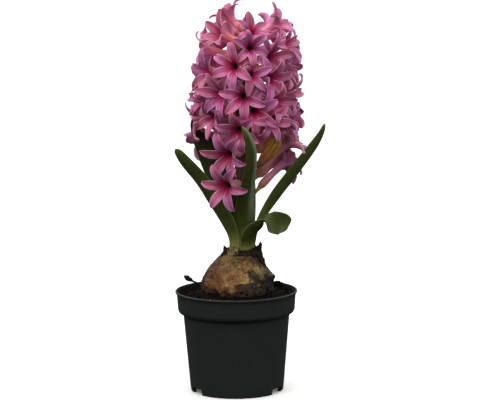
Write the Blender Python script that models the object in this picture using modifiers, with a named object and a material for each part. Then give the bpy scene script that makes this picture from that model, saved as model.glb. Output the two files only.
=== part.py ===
"""A hyacinth in flower, growing from its bulb in a small nursery pot.

Run with: blender --background --python part.py
Metres, +Z up. The origin is on the ground under the middle of the pot, and -Y is the front.
Azimuths are degrees round the vertical, from the front towards +X.
"""

import math
import random
from collections import namedtuple

import bmesh
import bpy
from mathutils import Matrix, Vector
from mathutils.bvhtree import BVHTree

MM = 0.001
UP = Vector((0.0, 0.0, 1.0))
FRONT = Vector((0.0, -1.0, 0.0))
GAP = 0.3 * MM  # between pieces that touch

# Pot
POT_HEIGHT = 74.6 * MM
POT_SEGMENTS = 36
LIP_RADIUS = 45.0 * MM
COLLAR_RADIUS = 43.4 * MM
COLLAR_BOTTOM = 58.6 * MM
BODY_TOP = 55.8 * MM
BODY_TOP_RADIUS = 39.0 * MM
BASE_RADIUS = 34.1 * MM
WALL = 1.1 * MM
FOOT_HEIGHT = 4.5 * MM
FOOT_WIDTH = 2.6 * MM
FLOOR_THICKNESS = 1.5 * MM
PAD_RADIUS = 10.0 * MM
FOOT_COUNT = 3
NOTCH_ANGLE = 24.0
DRAIN_COUNT = 6
DRAIN_RADIUS = 2.0 * MM
DRAIN_CIRCLE = 25.0 * MM

# Soil
SOIL_EDGE = 71.4 * MM
SOIL_AT_BULB = 73.2 * MM
MOUND_RADIUS = 29.0 * MM  # of the flat middle round the bulb
MOUND_FOOT_RADIUS = 35.0 * MM
BULB_SEAT_GAP = 0.42 * MM  # a little over GAP, because both sides are facets
BULB_SEAT_TOP = 80.0  # millimetres; the hollow's last ring, above the soil

# Bulb: height, sideways place of the centre, radius
BULB_RINGS = (
    (46.0, 1.0, 6.0),
    (48.5, 1.0, 13.0),
    (55.0, 1.0, 20.5),
    (64.0, 1.0, 25.0),
    (73.0, 1.0, 26.6),
    (80.0, 0.8, 26.4),
    (86.0, 1.4, 24.4),
    (91.0, 1.2, 21.6),
    (95.5, 2.0, 18.0),
    (99.5, 3.0, 15.2),
    (102.0, 4.3, 13.6),
    (103.6, 4.8, 12.8),
)
BULB_SIDES = 24

# Scraps of dry tunic round the neck: azimuths of the two ends, top, how much it leans out, whether it is pale
SCRAP_FOOT = 103.9
SCRAP_CENTRE = 5.0
SCRAP_RADIUS = 12.2
SCRAP_THICKNESS = 0.7 * MM
SCRAP_COLUMNS = 7
SCRAPS = {
    "tunic_scrap_left": (-112, -62, 108.6, 0.25, False),
    "tunic_scrap_front": (-54, -14, 109.0, 0.05, True),
    "tunic_scrap_right": (64, 112, 110.4, 0.05, False),
}

# Stem: centre line (sideways, height) and radius
STEM_LINE = (
    (5.3, 104.0),
    (6.2, 116.0),
    (8.4, 140.0),
    (8.8, 168.0),
    (7.8, 200.0),
    (8.4, 240.0),
    (10.2, 272.0),
)
STEM_RADIUS_FOOT = 6.2 * MM
STEM_RADIUS_TOP = 2.2 * MM
STEM_RINGS = 13
STEM_SIDES = 10
STEM_END = 271.0 * MM
BUD_FOOT = 271.3 * MM
BUD_PROFILE = ((0.0, 1.2), (2.0, 1.9), (4.5, 2.1), (6.6, 1.5), (7.6, 0.5))  # rise, radius

# Leaves
LEAF_THICKNESS = 1.3 * MM
LEAF_COLUMNS = 5
LEAF_ROWS = 13

# Each leaf is rows from its foot to its tip: the middle of the blade, its width, the way its inner face
# looks, and half the angle of the arc that the blade makes across, in degrees.
LEAVES = {
    "leaf_left": (
        ((-2.8, -5.1, 104.5), 12.7, (0.85, 0.53, 0.0), 38),
        ((-3.0, -6.2, 113.0), 12.7, (0.83, 0.55, 0.0), 36),
        ((-5.8, -8.8, 126.0), 13.0, (0.66, 0.70, 0.3), 30),
        ((-13.0, -11.0, 142.5), 13.0, (0.5, 0.75, 0.4), 24),
        ((-25.0, -13.5, 158.0), 12.6, (0.4, 0.8, 0.4), 20),
        ((-36.0, -16.0, 171.5), 9.5, (0.4, 0.8, 0.4), 20),
        ((-42.4, -17.0, 180.6), 3.2, (0.4, 0.8, 0.4), 16),
    ),
    "leaf_back_left": (
        ((-0.5, 4.9, 104.3), 9.5, (0.77, -0.64, 0.0), 36),
        ((-1.6, 6.6, 116.0), 10.0, (0.7, -0.7, 0.0), 34),
        ((-5.5, 8.8, 134.0), 13.5, (0.4, -0.9, 0.1), 28),
        ((-11.5, 9.5, 152.0), 16.0, (0.2, -0.95, 0.2), 24),
        ((-17.8, 9.0, 170.0), 15.5, (0.15, -0.97, 0.2), 22),
        ((-25.5, 7.5, 186.0), 12.0, (0.1, -0.97, 0.2), 22),
        ((-29.3, 6.5, 195.0), 7.0, (0.1, -0.97, 0.2), 22),
        ((-31.0, 6.0, 201.0), 2.4, (0.1, -0.97, 0.2), 22),
    ),
    "leaf_front": (
        ((4.8, -7.6, 104.2), 12.7, (0.07, 1.0, 0.0), 48),
        ((5.2, -8.8, 114.0), 12.9, (0.05, 1.0, 0.0), 40),
        ((6.4, -11.5, 128.0), 16.0, (0.0, 0.95, 0.2), 28),
        ((7.6, -17.0, 142.0), 13.5, (-0.15, 0.9, 0.35), 28),
        ((9.9, -25.0, 156.0), 11.0, (-0.3, 0.85, 0.4), 36),
        ((12.2, -33.0, 170.0), 9.5, (-0.35, 0.85, 0.35), 42),
        ((12.2, -39.0, 183.0), 8.0, (-0.35, 0.85, 0.35), 40),
        ((9.0, -42.0, 193.0), 5.5, (-0.35, 0.85, 0.35), 34),
        ((5.3, -43.0, 200.2), 2.2, (-0.35, 0.85, 0.35), 24),
    ),
    "leaf_right": (
        ((12.9, 0.6, 104.3), 10.8, (-1.0, 0.0, 0.0), 40),
        ((14.2, 0.9, 114.0), 11.2, (-0.97, 0.2, 0.1), 38),
        ((19.5, -0.5, 126.5), 13.0, (-0.8, 0.4, 0.4), 30),
        ((31.0, -1.5, 145.5), 12.0, (-0.55, 0.7, 0.45), 26),
        ((45.5, -2.5, 164.5), 11.0, (-0.5, 0.75, 0.4), 26),
        ((57.0, -3.0, 180.0), 9.0, (-0.5, 0.75, 0.4), 26),
        ((63.0, -3.0, 190.0), 5.5, (-0.5, 0.75, 0.4), 24),
        ((65.6, -3.0, 197.2), 2.4, (-0.5, 0.75, 0.4), 20),
    ),
    "leaf_back": (
        ((7.4, 9.3, 104.4), 12.0, (-0.2, -0.98, 0.0), 36),
        ((8.0, 11.4, 116.0), 12.5, (-0.15, -0.98, 0.1), 34),
        ((8.6, 18.0, 134.0), 13.5, (-0.1, -0.95, 0.3), 28),
        ((8.6, 28.0, 151.0), 12.5, (0.0, -0.86, 0.5), 24),
        ((8.6, 39.0, 165.0), 9.0, (0.0, -0.8, 0.6), 22),
        ((8.6, 46.0, 173.0), 3.0, (0.0, -0.8, 0.6), 20),
    ),
    "leaf_curled": (
        ((9.5, -8.7, 104.3), 13.0, (-0.44, 0.9, 0.0), 38),
        ((9.8, -10.6, 110.5), 13.5, (-0.45, 0.88, 0.1), 34),
        ((11.8, -15.2, 118.4), 13.0, (-0.5, 0.84, 0.15), 26),
        ((16.4, -19.4, 122.8), 11.5, (-0.35, 0.85, 0.3), 18),
        ((20.4, -20.8, 125.0), 10.5, (0.0, 0.5, 0.85), 14),
        ((22.5, -19.8, 125.4), 13.0, (0.0, -0.75, 0.65), 14),
        ((26.0, -18.6, 125.2), 15.5, (0.05, -0.98, 0.2), 18),
        ((31.0, -18.0, 124.6), 16.5, (0.15, -0.97, 0.0), 18),
        ((35.4, -16.6, 123.4), 14.0, (0.5, -0.85, 0.0), 20),
        ((36.6, -14.4, 121.8), 7.0, (0.8, -0.5, 0.0), 20),
    ),
}

# Florets
SIDES = 6
STALK_LENGTH = 4.0 * MM
STALK_RADIUS = 1.3 * MM
TUBE_PROFILE = ((0.0, 2.2), (0.16, 3.0), (0.55, 2.5), (1.0, 3.9))  # share from stalk to mouth, radius
TUBE_STEPS = 40
THROAT_DEPTH = 5.0 * MM
THROAT_RADIUS = 1.5 * MM
PETAL_THICKNESS = 0.9 * MM
PETAL_LENGTH = 16.0 * MM
PETAL_WIDTHS = ((0.0, 3.9), (0.34, 6.3), (0.68, 5.6), (1.0, 1.5))  # share from foot to tip, width
PETAL_STEPS = 12
PETAL_BEND = 0.9  # below 1 the petal rolls back early, above 1 late
PETAL_START = 24.0  # degrees that a petal already leans outwards at the mouth
LEAST_SPREAD = 40.0  # degrees that a petal's tip leans outwards at the least
SPREAD_VARIES = 12.0  # degrees either way
SWAY_VARIES = 1.0 * MM
CLEARANCE = 0.45 * MM
CORE_INSET = 0.02  # share of the foot that a petal's core leaves out
CORE_MARGIN = 0.05 * MM  # that a core stands out beyond the petal past its foot

# Spent floret: centre line, and radii at even steps along it
WITHERED_LINE = (
    (13.4, -3.8, 165.0),
    (19.0, -9.0, 170.0),
    (24.0, -13.0, 177.0),
    (29.0, -15.5, 184.5),
    (32.2, -16.5, 190.5),
)
WITHERED_RADII = (1.3, 3.0, 3.8, 4.2, 1.6)
WITHERED_RINGS = 9
WITHERED_SIDES = 8

# Twig on the soil
TWIG_LINE = (
    (-24.0, 17.0, 75.1),
    (-28.0, 18.2, 76.0),
    (-32.0, 19.4, 77.5),
    (-35.5, 20.4, 79.4),
    (-39.0, 21.4, 81.6),
)
TWIG_RADII = (1.3, 1.1, 0.8, 0.7, 1.6, 2.0, 0.5)

Floret = namedtuple("Floret", "azimuth height reach pitch roll spread size drop")
Petal = namedtuple("Petal", "spread sway length bend")

# One row for each floret: where its mouth is, which way it faces and how far its petals roll back, in
# millimetres and degrees. Reach is from the stem's centre line, and drop is how far below its mouth the
# floret joins the stem.
FLORETS = (
    Floret(6, 254, 23, 8, 12, 100, 0.95, 6),
    Floret(-17, 241, 27, 4, 0, 105, 1.0, 5),
    Floret(7, 235, 28, 0, 45, 105, 1.0, 5),
    Floret(-3, 220, 28, -6, 8, 110, 1.0, 4),
    Floret(-36, 221, 27, 0, 20, 90, 1.0, 4),
    Floret(-27, 178, 28, -14, 20, 110, 1.05, 3),
    Floret(-30, 155, 28, -6, 24, 100, 1.05, 4),
    Floret(13, 209, 27, -6, 61, 105, 1.0, 4),
    Floret(-9, 196, 28, -14, 10, 90, 1.0, 3),
    Floret(38, 232, 27, -8, -20, 100, 1.0, 5),
    Floret(44, 215, 28, -2, 41, 105, 1.0, 4),
    Floret(10, 264, 15, 30, 0, 85, 0.76, 6),
    Floret(-98, 274, 12, 52, 10, 62, 0.85, 9),
    Floret(72, 269, 20, 34, 15, 85, 0.9, 9),
    Floret(-64, 262, 19, 24, 0, 75, 0.95, 8),
    Floret(78, 255, 27, 12, 30, 95, 1.0, 7),
    Floret(-88, 250, 26, 6, 0, 80, 0.95, 5),
    Floret(40, 247, 25, 6, 36, 95, 0.95, 6),
    Floret(-60, 236, 28, 0, 14, 95, 1.0, 5),
    Floret(-72, 218, 30, -4, 30, 100, 1.0, 4),
    Floret(-48, 203, 29, -10, 0, 95, 1.0, 3),
    Floret(75, 238, 29, 2, 10, 100, 1.0, 5),
    Floret(82, 219, 30, -2, 32, 105, 1.0, 4),
    Floret(36, 195, 29, -16, 20, 100, 1.0, 3),
    Floret(78, 200, 30, -6, 0, 100, 1.0, 4),
    Floret(-86, 201, 32, -8, 35, 100, 1.0, 3),
    Floret(89, 182, 29, 36, 5, 75, 1.05, 23),
    Floret(104, 167, 33, 37, 20, 80, 1.0, 21),
    Floret(128, 168, 30, 14, 45, 80, 0.95, 13),
    Floret(180, 268, 14, 40, 0, 85, 0.85, 8),
    Floret(132, 261, 20, 24, 25, 90, 0.95, 7),
    Floret(-142, 260, 19, 22, 0, 90, 0.95, 7),
    Floret(-118, 245, 26, 12, 22, 100, 1.0, 6),
    Floret(-170, 231, 28, 2, 0, 100, 1.0, 5),
    Floret(118, 238, 28, 2, 25, 100, 1.0, 5),
    Floret(-128, 229, 28, 0, 10, 105, 1.0, 5),
    Floret(142, 219, 29, 0, 36, 105, 1.0, 4),
    Floret(-104, 213, 30, -4, 10, 100, 1.0, 4),
    Floret(-156, 212, 29, -4, 28, 105, 1.0, 4),
    Floret(120, 204, 30, -2, 15, 105, 1.0, 4),
    Floret(166, 199, 29, -8, 0, 105, 1.0, 4),
    Floret(-116, 187, 31, -8, 30, 105, 1.0, 4),
    Floret(138, 182, 29, 4, 30, 100, 1.0, 8),
    Floret(-166, 178, 29, -4, 15, 100, 1.0, 5),
)


def smooth_line(points, count):
    """Evenly numbered points on a Catmull-Rom curve through vectors of any length."""
    points = [Vector(point) for point in points]
    points = [2 * points[0] - points[1], *points, 2 * points[-1] - points[-2]]
    spans = len(points) - 3
    line = []
    for index in range(count):
        place = index * spans / (count - 1)
        span = min(int(place), spans - 1)
        t = place - span
        a, b, c, d = points[span : span + 4]
        curve = (2 * a - 5 * b + 4 * c - d) * t**2 + (3 * b - a - 3 * c + d) * t**3
        line.append(0.5 * (2 * b + (c - a) * t + curve))
    return line


def read_profile(profile, place):
    """The value at a place in a profile of (place, value) pairs, on straight lines between them."""
    for (start, low), (end, high) in zip(profile, profile[1:]):
        if place <= end:
            return low + (high - low) * (place - start) / (end - start)
    return profile[-1][1]


def outward(azimuth):
    angle = math.radians(azimuth)
    return Vector((math.sin(angle), -math.cos(angle), 0.0))


def stem_centre(height):
    """The middle of the stem at a height."""
    profile = [(z * MM, x * MM) for x, z in STEM_LINE]
    return Vector((read_profile(profile, height), 0.0, height))


def stem_radius(height):
    foot, top = STEM_LINE[0][1] * MM, STEM_LINE[-1][1] * MM
    return STEM_RADIUS_FOOT + (STEM_RADIUS_TOP - STEM_RADIUS_FOOT) * ((height - foot) / (top - foot)) ** 1.5


def clear_scene():
    for obj in list(bpy.data.objects):
        bpy.data.objects.remove(obj, do_unlink=True)


def make_collection(name):
    collection = bpy.data.collections.new(name)
    bpy.context.scene.collection.children.link(collection)
    return collection


def make_material(name, colour, roughness):
    material = bpy.data.materials.new(name)
    material.use_nodes = True
    shader = material.node_tree.nodes["Principled BSDF"]
    shader.inputs["Base Color"].default_value = (*colour, 1.0)
    shader.inputs["Roughness"].default_value = roughness
    shader.inputs["Metallic"].default_value = 0.0
    material.diffuse_color = (*colour, 1.0)
    return material


def add_mesh(name, points, faces, collection, material=None):
    """A new object from points and faces, with its faces turned outwards where it is closed."""
    mesh = bpy.data.meshes.new(name)
    mesh.from_pydata([tuple(point) for point in points], [], faces)
    body = bmesh.new()
    body.from_mesh(mesh)
    bmesh.ops.recalc_face_normals(body, faces=body.faces)
    body.to_mesh(mesh)
    body.free()
    mesh.shade_smooth()
    mesh.set_sharp_from_angle(angle=math.radians(40))
    obj = bpy.data.objects.new(name, mesh)
    collection.objects.link(obj)
    if material:
        mesh.materials.append(material)
    return obj


def add_turned(name, profile, segments, collection, material=None):
    """A solid turned about Z from (radius, height) points, given so that the outer side runs downwards."""
    mesh = bpy.data.meshes.new(name)
    points = [(radius, 0.0, height) for radius, height in profile]
    mesh.from_pydata(points, [(index, index + 1) for index in range(len(points) - 1)], [])
    obj = bpy.data.objects.new(name, mesh)
    collection.objects.link(obj)
    turn = obj.modifiers.new("Turn", "SCREW")
    turn.steps = segments
    turn.render_steps = segments
    turn.use_merge_vertices = True
    turn.merge_threshold = 0.00001
    turn.use_smooth_shade = True
    if material:
        mesh.materials.append(material)
    return obj


def cut(obj, cutter):
    cutter.hide_render = True
    cutter.display_type = "WIRE"
    boolean = obj.modifiers.new(cutter.name, "BOOLEAN")
    boolean.operation = "DIFFERENCE"
    boolean.solver = "EXACT"
    boolean.object = cutter


def ring_points(centre, along, reference, radius, sides, turn=0.0):
    """Points round a centre, in the plane across a direction; the first lies towards the reference."""
    along = along.normalized()
    first = (reference - along * reference.dot(along)).normalized()
    second = along.cross(first)
    angles = [math.radians(turn) + 2 * math.pi * index / sides for index in range(sides)]
    return [centre + (first * math.cos(angle) + second * math.sin(angle)) * radius for angle in angles]


def band_faces(low, high, sides):
    """The faces between two rings of points that start at the given numbers."""
    return [
        (low + index, low + (index + 1) % sides, high + (index + 1) % sides, high + index)
        for index in range(sides)
    ]


def add_loft(name, centres, radii, sides, collection, material, level=False):
    """A closed solid through rings along a line of centres; the rings lie across the line, or stay level."""
    points, faces = [], []
    for index, (centre, radius) in enumerate(zip(centres, radii)):
        before, after = centres[max(index - 1, 0)], centres[min(index + 1, len(centres) - 1)]
        points += ring_points(centre, UP if level else after - before, FRONT, radius, sides)
        if index:
            faces += band_faces((index - 1) * sides, index * sides, sides)
    faces.append(tuple(range(sides)))
    faces.append(tuple(range(len(points) - sides, len(points))))
    return add_mesh(name, points, faces, collection, material)


# ---------------------------------------------------------------- pot and soil


def pot_profile():
    """Half of the pot's section: up its inside from the middle of the floor, over the lip, down and under."""
    floor = FOOT_HEIGHT + FLOOR_THICKNESS
    lip_inner = LIP_RADIUS - 1.9 * MM
    collar_inner = COLLAR_RADIUS - WALL
    return (
        (0.0, floor),
        (BASE_RADIUS - WALL - 1.5 * MM, floor),
        (BASE_RADIUS - WALL + 0.3 * MM, floor + 1.5 * MM),
        (BODY_TOP_RADIUS - WALL, BODY_TOP),
        (BODY_TOP_RADIUS - WALL + 0.4 * MM, BODY_TOP + 0.9 * MM),
        (collar_inner - 0.8 * MM, COLLAR_BOTTOM + 0.6 * MM),
        (collar_inner, COLLAR_BOTTOM + 1.8 * MM),
        (lip_inner - 0.6 * MM, POT_HEIGHT - 2.6 * MM),
        (lip_inner, POT_HEIGHT - 1.0 * MM),
        (lip_inner + 0.6 * MM, POT_HEIGHT - 0.15 * MM),
        (LIP_RADIUS - 0.6 * MM, POT_HEIGHT),
        (LIP_RADIUS, POT_HEIGHT - 0.7 * MM),
        (LIP_RADIUS - 0.2 * MM, POT_HEIGHT - 1.5 * MM),
        (COLLAR_RADIUS + 0.5 * MM, POT_HEIGHT - 3.0 * MM),
        (COLLAR_RADIUS + 0.2 * MM, POT_HEIGHT - 5.0 * MM),
        (COLLAR_RADIUS - 0.4 * MM, COLLAR_BOTTOM + 1.8 * MM),
        (COLLAR_RADIUS - 1.2 * MM, COLLAR_BOTTOM + 0.2 * MM),
        (BODY_TOP_RADIUS + 1.2 * MM, BODY_TOP + 1.6 * MM),
        (BODY_TOP_RADIUS + 0.2 * MM, BODY_TOP + 0.8 * MM),
        (BODY_TOP_RADIUS, BODY_TOP),
        (BASE_RADIUS + 0.6 * MM, 5.5 * MM),
        (BASE_RADIUS, 0.6 * MM),
        (BASE_RADIUS - 0.6 * MM, 0.0),
        (BASE_RADIUS - FOOT_WIDTH, 0.0),
        (BASE_RADIUS - FOOT_WIDTH, FOOT_HEIGHT),
        (PAD_RADIUS, FOOT_HEIGHT),
        (PAD_RADIUS - 0.5 * MM, 0.0),
        (0.0, 0.0),
    )


def add_notch(name, azimuth, collection):
    """A wedge that cuts the foot ring between two feet."""
    middle = outward(azimuth)
    inner, outer = BASE_RADIUS - 2 * FOOT_WIDTH, BASE_RADIUS + FOOT_WIDTH
    sweep = math.tan(math.radians(NOTCH_ANGLE / 2))
    side = UP.cross(middle)
    points = []
    for height in (-1.0 * MM, FOOT_HEIGHT - 0.2 * MM):
        narrowing = 1.0 if height < 0 else 0.9
        for radius in (inner, outer):
            place = middle * radius + UP * height
            half = side * radius * sweep * narrowing
            points += [place - half, place + half]
    faces = [(0, 1, 3, 2), (4, 5, 7, 6), (0, 1, 5, 4), (2, 3, 7, 6), (0, 2, 6, 4), (1, 3, 7, 5)]
    return add_mesh(name, points, faces, collection)


def add_drain(name, azimuth, collection):
    """A rod that cuts one drain hole through the floor."""
    mesh = bpy.data.meshes.new(name)
    body = bmesh.new()
    bmesh.ops.create_cone(
        body,
        cap_ends=True,
        segments=8,
        radius1=DRAIN_RADIUS,
        radius2=DRAIN_RADIUS,
        depth=4 * FLOOR_THICKNESS,
        matrix=Matrix.Translation(outward(azimuth) * DRAIN_CIRCLE + UP * FOOT_HEIGHT),
    )
    body.to_mesh(mesh)
    body.free()
    rod = bpy.data.objects.new(name, mesh)
    collection.objects.link(rod)
    return rod


def add_pot(parts, cutters):
    plastic = make_material("pot_plastic", (0.014, 0.016, 0.015), 0.45)
    pot = add_turned("pot", pot_profile(), POT_SEGMENTS, parts, plastic)
    for index in range(FOOT_COUNT):
        cut(pot, add_notch(f"foot_notch_{index}", (index + 0.5) * 360 / FOOT_COUNT, cutters))
    for index in range(DRAIN_COUNT):
        cut(pot, add_drain(f"drain_{index}", index * 360 / DRAIN_COUNT, cutters))
    return pot


def add_bulb_hollow(cutters):
    """The bulb's lower half, a little larger all round: it cuts the hollow that the bulb sits in."""
    rings = [ring for ring in BULB_RINGS if ring[0] <= BULB_SEAT_TOP]
    centres = [Vector((sideways * MM, 0.0, height * MM)) for height, sideways, _ in rings]
    radii = [radius * MM + BULB_SEAT_GAP for _, _, radius in rings]
    centres.insert(0, centres[0] - UP * BULB_SEAT_GAP)
    radii.insert(0, radii[0] - 2 * BULB_SEAT_GAP)
    return add_loft("bulb_hollow", centres, radii, BULB_SIDES, cutters, None, level=True)


def add_soil(parts, cutters):
    earth = make_material("potting_soil", (0.018, 0.011, 0.007), 0.95)
    floor = FOOT_HEIGHT + FLOOR_THICKNESS + GAP
    collar_inner = COLLAR_RADIUS - WALL - GAP
    body_inner = BODY_TOP_RADIUS - WALL - GAP
    profile = (
        (0.0, SOIL_AT_BULB),
        (MOUND_RADIUS, SOIL_AT_BULB),
        (MOUND_FOOT_RADIUS, SOIL_EDGE + 0.8 * MM),
        (collar_inner - 1.0 * MM, SOIL_EDGE),
        (collar_inner - 0.1 * MM, SOIL_EDGE - 1.0 * MM),
        (collar_inner - 0.1 * MM, COLLAR_BOTTOM + 2.2 * MM),
        (collar_inner - 1.2 * MM, COLLAR_BOTTOM + 1.2 * MM),
        (body_inner, BODY_TOP + 0.5 * MM),
        (BASE_RADIUS - WALL - GAP, floor + 2.0 * MM),
        (BASE_RADIUS - WALL - 2.2 * MM, floor),
        (0.0, floor),
    )
    soil = add_turned("soil", profile, POT_SEGMENTS, parts, earth)
    cut(soil, add_bulb_hollow(cutters))
    return soil


# ---------------------------------------------------------------- bulb, neck and stem


def add_bulb(parts):
    tunic = make_material("bulb_tunic", (0.26, 0.16, 0.075), 0.75)
    centres = [Vector((sideways * MM, 0.0, height * MM)) for height, sideways, _ in BULB_RINGS]
    radii = [radius * MM for _, _, radius in BULB_RINGS]
    return add_loft("bulb", centres, radii, BULB_SIDES, parts, tunic, level=True)


def add_scrap(name, first, last, top, lean, parts, material):
    """A curved scrap of dry tunic that stands round the neck, between two azimuths."""
    points, faces = [], []
    for row, height in enumerate((SCRAP_FOOT, 0.5 * (SCRAP_FOOT + top), top)):
        for column in range(SCRAP_COLUMNS):
            azimuth = first + (last - first) * column / (SCRAP_COLUMNS - 1)
            ragged = 1.0 if row == 0 else 1.0 - 0.3 * math.sin(3.1 * column) ** 2
            rise = (height - SCRAP_FOOT) * ragged
            centre = Vector((SCRAP_CENTRE, 0.0, SCRAP_FOOT + rise))
            points.append((centre + outward(azimuth) * (SCRAP_RADIUS + lean * rise)) * MM)
            if row and column:
                corner = row * SCRAP_COLUMNS + column
                faces.append((corner - SCRAP_COLUMNS - 1, corner - SCRAP_COLUMNS, corner, corner - 1))
    scrap = add_mesh(name, points, faces, parts, material)
    solidify(scrap, SCRAP_THICKNESS)
    return scrap


def solidify(obj, thickness):
    shell = obj.modifiers.new("Thickness", "SOLIDIFY")
    shell.thickness = thickness
    shell.offset = 0.0
    shell.use_even_offset = True


def add_scraps(parts):
    dark = make_material("tunic_scrap_dark", (0.03, 0.018, 0.012), 0.85)
    pale = make_material("tunic_scrap_pale", (0.35, 0.24, 0.13), 0.8)
    for name, (first, last, top, lean, is_pale) in SCRAPS.items():
        add_scrap(name, first, last, top, lean, parts, pale if is_pale else dark)


def add_stem(parts):
    green = make_material("flower_stem", (0.05, 0.035, 0.02), 0.5)
    foot = STEM_LINE[0][1] * MM + GAP
    heights = [foot + (STEM_END - foot) * index / (STEM_RINGS - 1) for index in range(STEM_RINGS)]
    centres = [stem_centre(height) for height in heights]
    radii = [stem_radius(height) for height in heights]
    return add_loft("flower_stem", centres, radii, STEM_SIDES, parts, green, level=True)


# ---------------------------------------------------------------- leaves

def leaf_grid(rows, row_count, columns):
    """Points of a leaf's middle surface: an arc across the leaf at each step along its smooth middle line."""
    middle = smooth_line([Vector(row[0]) * MM for row in rows], row_count)
    shape = smooth_line([(row[1] * MM, row[3], *row[2]) for row in rows], row_count)
    points = []
    for index in range(row_count):
        along = (middle[min(index + 1, row_count - 1)] - middle[max(index - 1, 0)]).normalized()
        width, cup, *looks = shape[index]
        inner = Vector(looks)
        inner = (inner - along * inner.dot(along)).normalized()
        side = along.cross(inner)
        half = math.radians(cup)
        radius = 0.5 * width / half
        for column in range(columns):
            angle = half * (2 * column / (columns - 1) - 1)
            across = inner * (1 - math.cos(angle)) + side * math.sin(angle)
            points.append(middle[index] + across * radius)
    return points


def add_leaf(name, rows, parts, material):
    points = leaf_grid(rows, LEAF_ROWS, LEAF_COLUMNS)
    faces = []
    for row in range(1, LEAF_ROWS):
        for column in range(1, LEAF_COLUMNS):
            corner = row * LEAF_COLUMNS + column
            faces.append((corner - LEAF_COLUMNS - 1, corner - LEAF_COLUMNS, corner, corner - 1))
    leaf = add_mesh(name, points, faces, parts, material)
    solidify(leaf, LEAF_THICKNESS)
    return leaf


def add_leaves(parts):
    green = make_material("leaf_green", (0.022, 0.042, 0.009), 0.42)
    return [add_leaf(name, rows, parts, green) for name, rows in LEAVES.items()]


# ---------------------------------------------------------------- florets


def floret_frame(floret):
    """The mouth's centre, the way it faces, and a direction across it that the first petal lies on."""
    radial = outward(floret.azimuth)
    mouth = stem_centre(floret.height * MM) + radial * floret.reach * MM
    pitch = math.radians(floret.pitch)
    facing = radial * math.cos(pitch) + UP * math.sin(pitch)
    across = Matrix.Rotation(math.radians(floret.roll), 3, facing) @ facing.cross(radial.cross(UP))
    return mouth, facing, across.normalized()


def tube_line(floret, count):
    """Points along the floret's stalk and tube, from the stem to the mouth."""
    mouth, facing, _ = floret_frame(floret)
    foot_height = (floret.height - floret.drop) * MM
    radial = outward(floret.azimuth)
    foot = stem_centre(foot_height) + radial * (stem_radius(foot_height) + GAP)
    elbow = mouth - facing * 0.5 * (mouth - foot).length
    line = []
    for index in range(count):
        t = index / (count - 1)
        line.append(foot * (1 - t) ** 2 + elbow * 2 * t * (1 - t) + mouth * t**2)
    return line


def tube_rings(floret):
    """Rings of the tube's outside from the stalk up to the mouth."""
    last = TUBE_STEPS
    fine = tube_line(floret, last + 1)
    _, facing, across = floret_frame(floret)
    stalk = STALK_LENGTH / sum((b - a).length for a, b in zip(fine, fine[1:]))
    places = [(0.0, STALK_RADIUS), (0.8 * stalk, STALK_RADIUS)]
    places += [(stalk + (1.0 - stalk) * place, radius * MM * floret.size) for place, radius in TUBE_PROFILE]
    rings = []
    for place, radius in places:
        index = round(place * last)
        along = fine[min(index + 1, last)] - fine[max(index - 1, 0)]
        if index == 0:
            along = outward(floret.azimuth)
        elif index == last:
            along = facing
        rings.append(ring_points(fine[index], along, across, radius, SIDES, turn=-30))
    return rings


def throat_rings(floret):
    """Rings of the open throat, from the mouth's inner edge down to its bottom."""
    mouth, facing, across = floret_frame(floret)
    rim = (TUBE_PROFILE[-1][1] * MM - PETAL_THICKNESS) * floret.size
    return [
        ring_points(mouth, facing, across, rim, SIDES, turn=-30),
        ring_points(mouth - facing * THROAT_DEPTH, facing, across, THROAT_RADIUS, SIDES, turn=-30),
    ]


def petal_rows(floret, index, petal, extra=0.0):
    """Rows across one petal after its foot: each is outer left, outer right, inner left, inner right."""
    mouth, facing, across = floret_frame(floret)
    out = Matrix.Rotation(2 * math.pi * index / SIDES, 3, facing) @ across
    side = facing.cross(out)
    stride = PETAL_LENGTH * floret.size * petal.length / PETAL_STEPS
    mouth_radius = TUBE_PROFILE[-1][1] * MM * floret.size - PETAL_THICKNESS / 2
    place = mouth + out * mouth_radius * math.cos(math.pi / SIDES)
    skin = PETAL_THICKNESS / 2 + extra
    widths = {round(share * PETAL_STEPS): width for share, width in PETAL_WIDTHS[1:]}
    rows = []
    for step in range(1, PETAL_STEPS + 1):
        rolled = ((step - 0.5) / PETAL_STEPS) ** petal.bend
        lean = math.radians(PETAL_START + (petal.spread - PETAL_START) * rolled)
        along = facing * math.cos(lean) + out * math.sin(lean)
        place = place + along * stride
        if step in widths:
            inner = (facing * math.sin(lean) - out * math.cos(lean)) * skin
            half = side * (widths[step] * MM * floret.size / 2 + extra)
            middle = place + side * petal.sway * (step / PETAL_STEPS) ** 2
            if step == PETAL_STEPS:
                middle = middle + along * extra
            outside, inside = middle - inner, middle + inner
            rows.append([outside - half, outside + half, inside - half, inside + half])
    return rows


def petal_choices():
    """Ways to lay a petal, from the wanted one to those that differ most from it."""
    choices = []
    for turn in (0, 14, -14, 28, -28, 42, -42, 58, -58):
        for sway in (0.0, 1.5, -1.5, 3.0, -3.0, 4.5, -4.5):
            for length in (1.0, 0.86, 0.72, 0.55, 0.4, 0.28):
                for bend in (PETAL_BEND, 1.6, 0.55):
                    cost = abs(turn) / 14 + abs(sway) * 0.6 + (1.0 - length) * 18 + (bend != PETAL_BEND)
                    choices.append((cost, Petal(turn, sway * MM, length, bend)))
    return [petal for _, petal in sorted(choices, key=lambda choice: choice[0])]


def box_of(points):
    low = Vector([min(point[axis] for point in points) for axis in range(3)])
    high = Vector([max(point[axis] for point in points) for axis in range(3)])
    return low, high


def as_obstacle(owner, points, faces):
    low, high = box_of(points)
    return owner, low, high, BVHTree.FromPolygons(points, faces)


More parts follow.
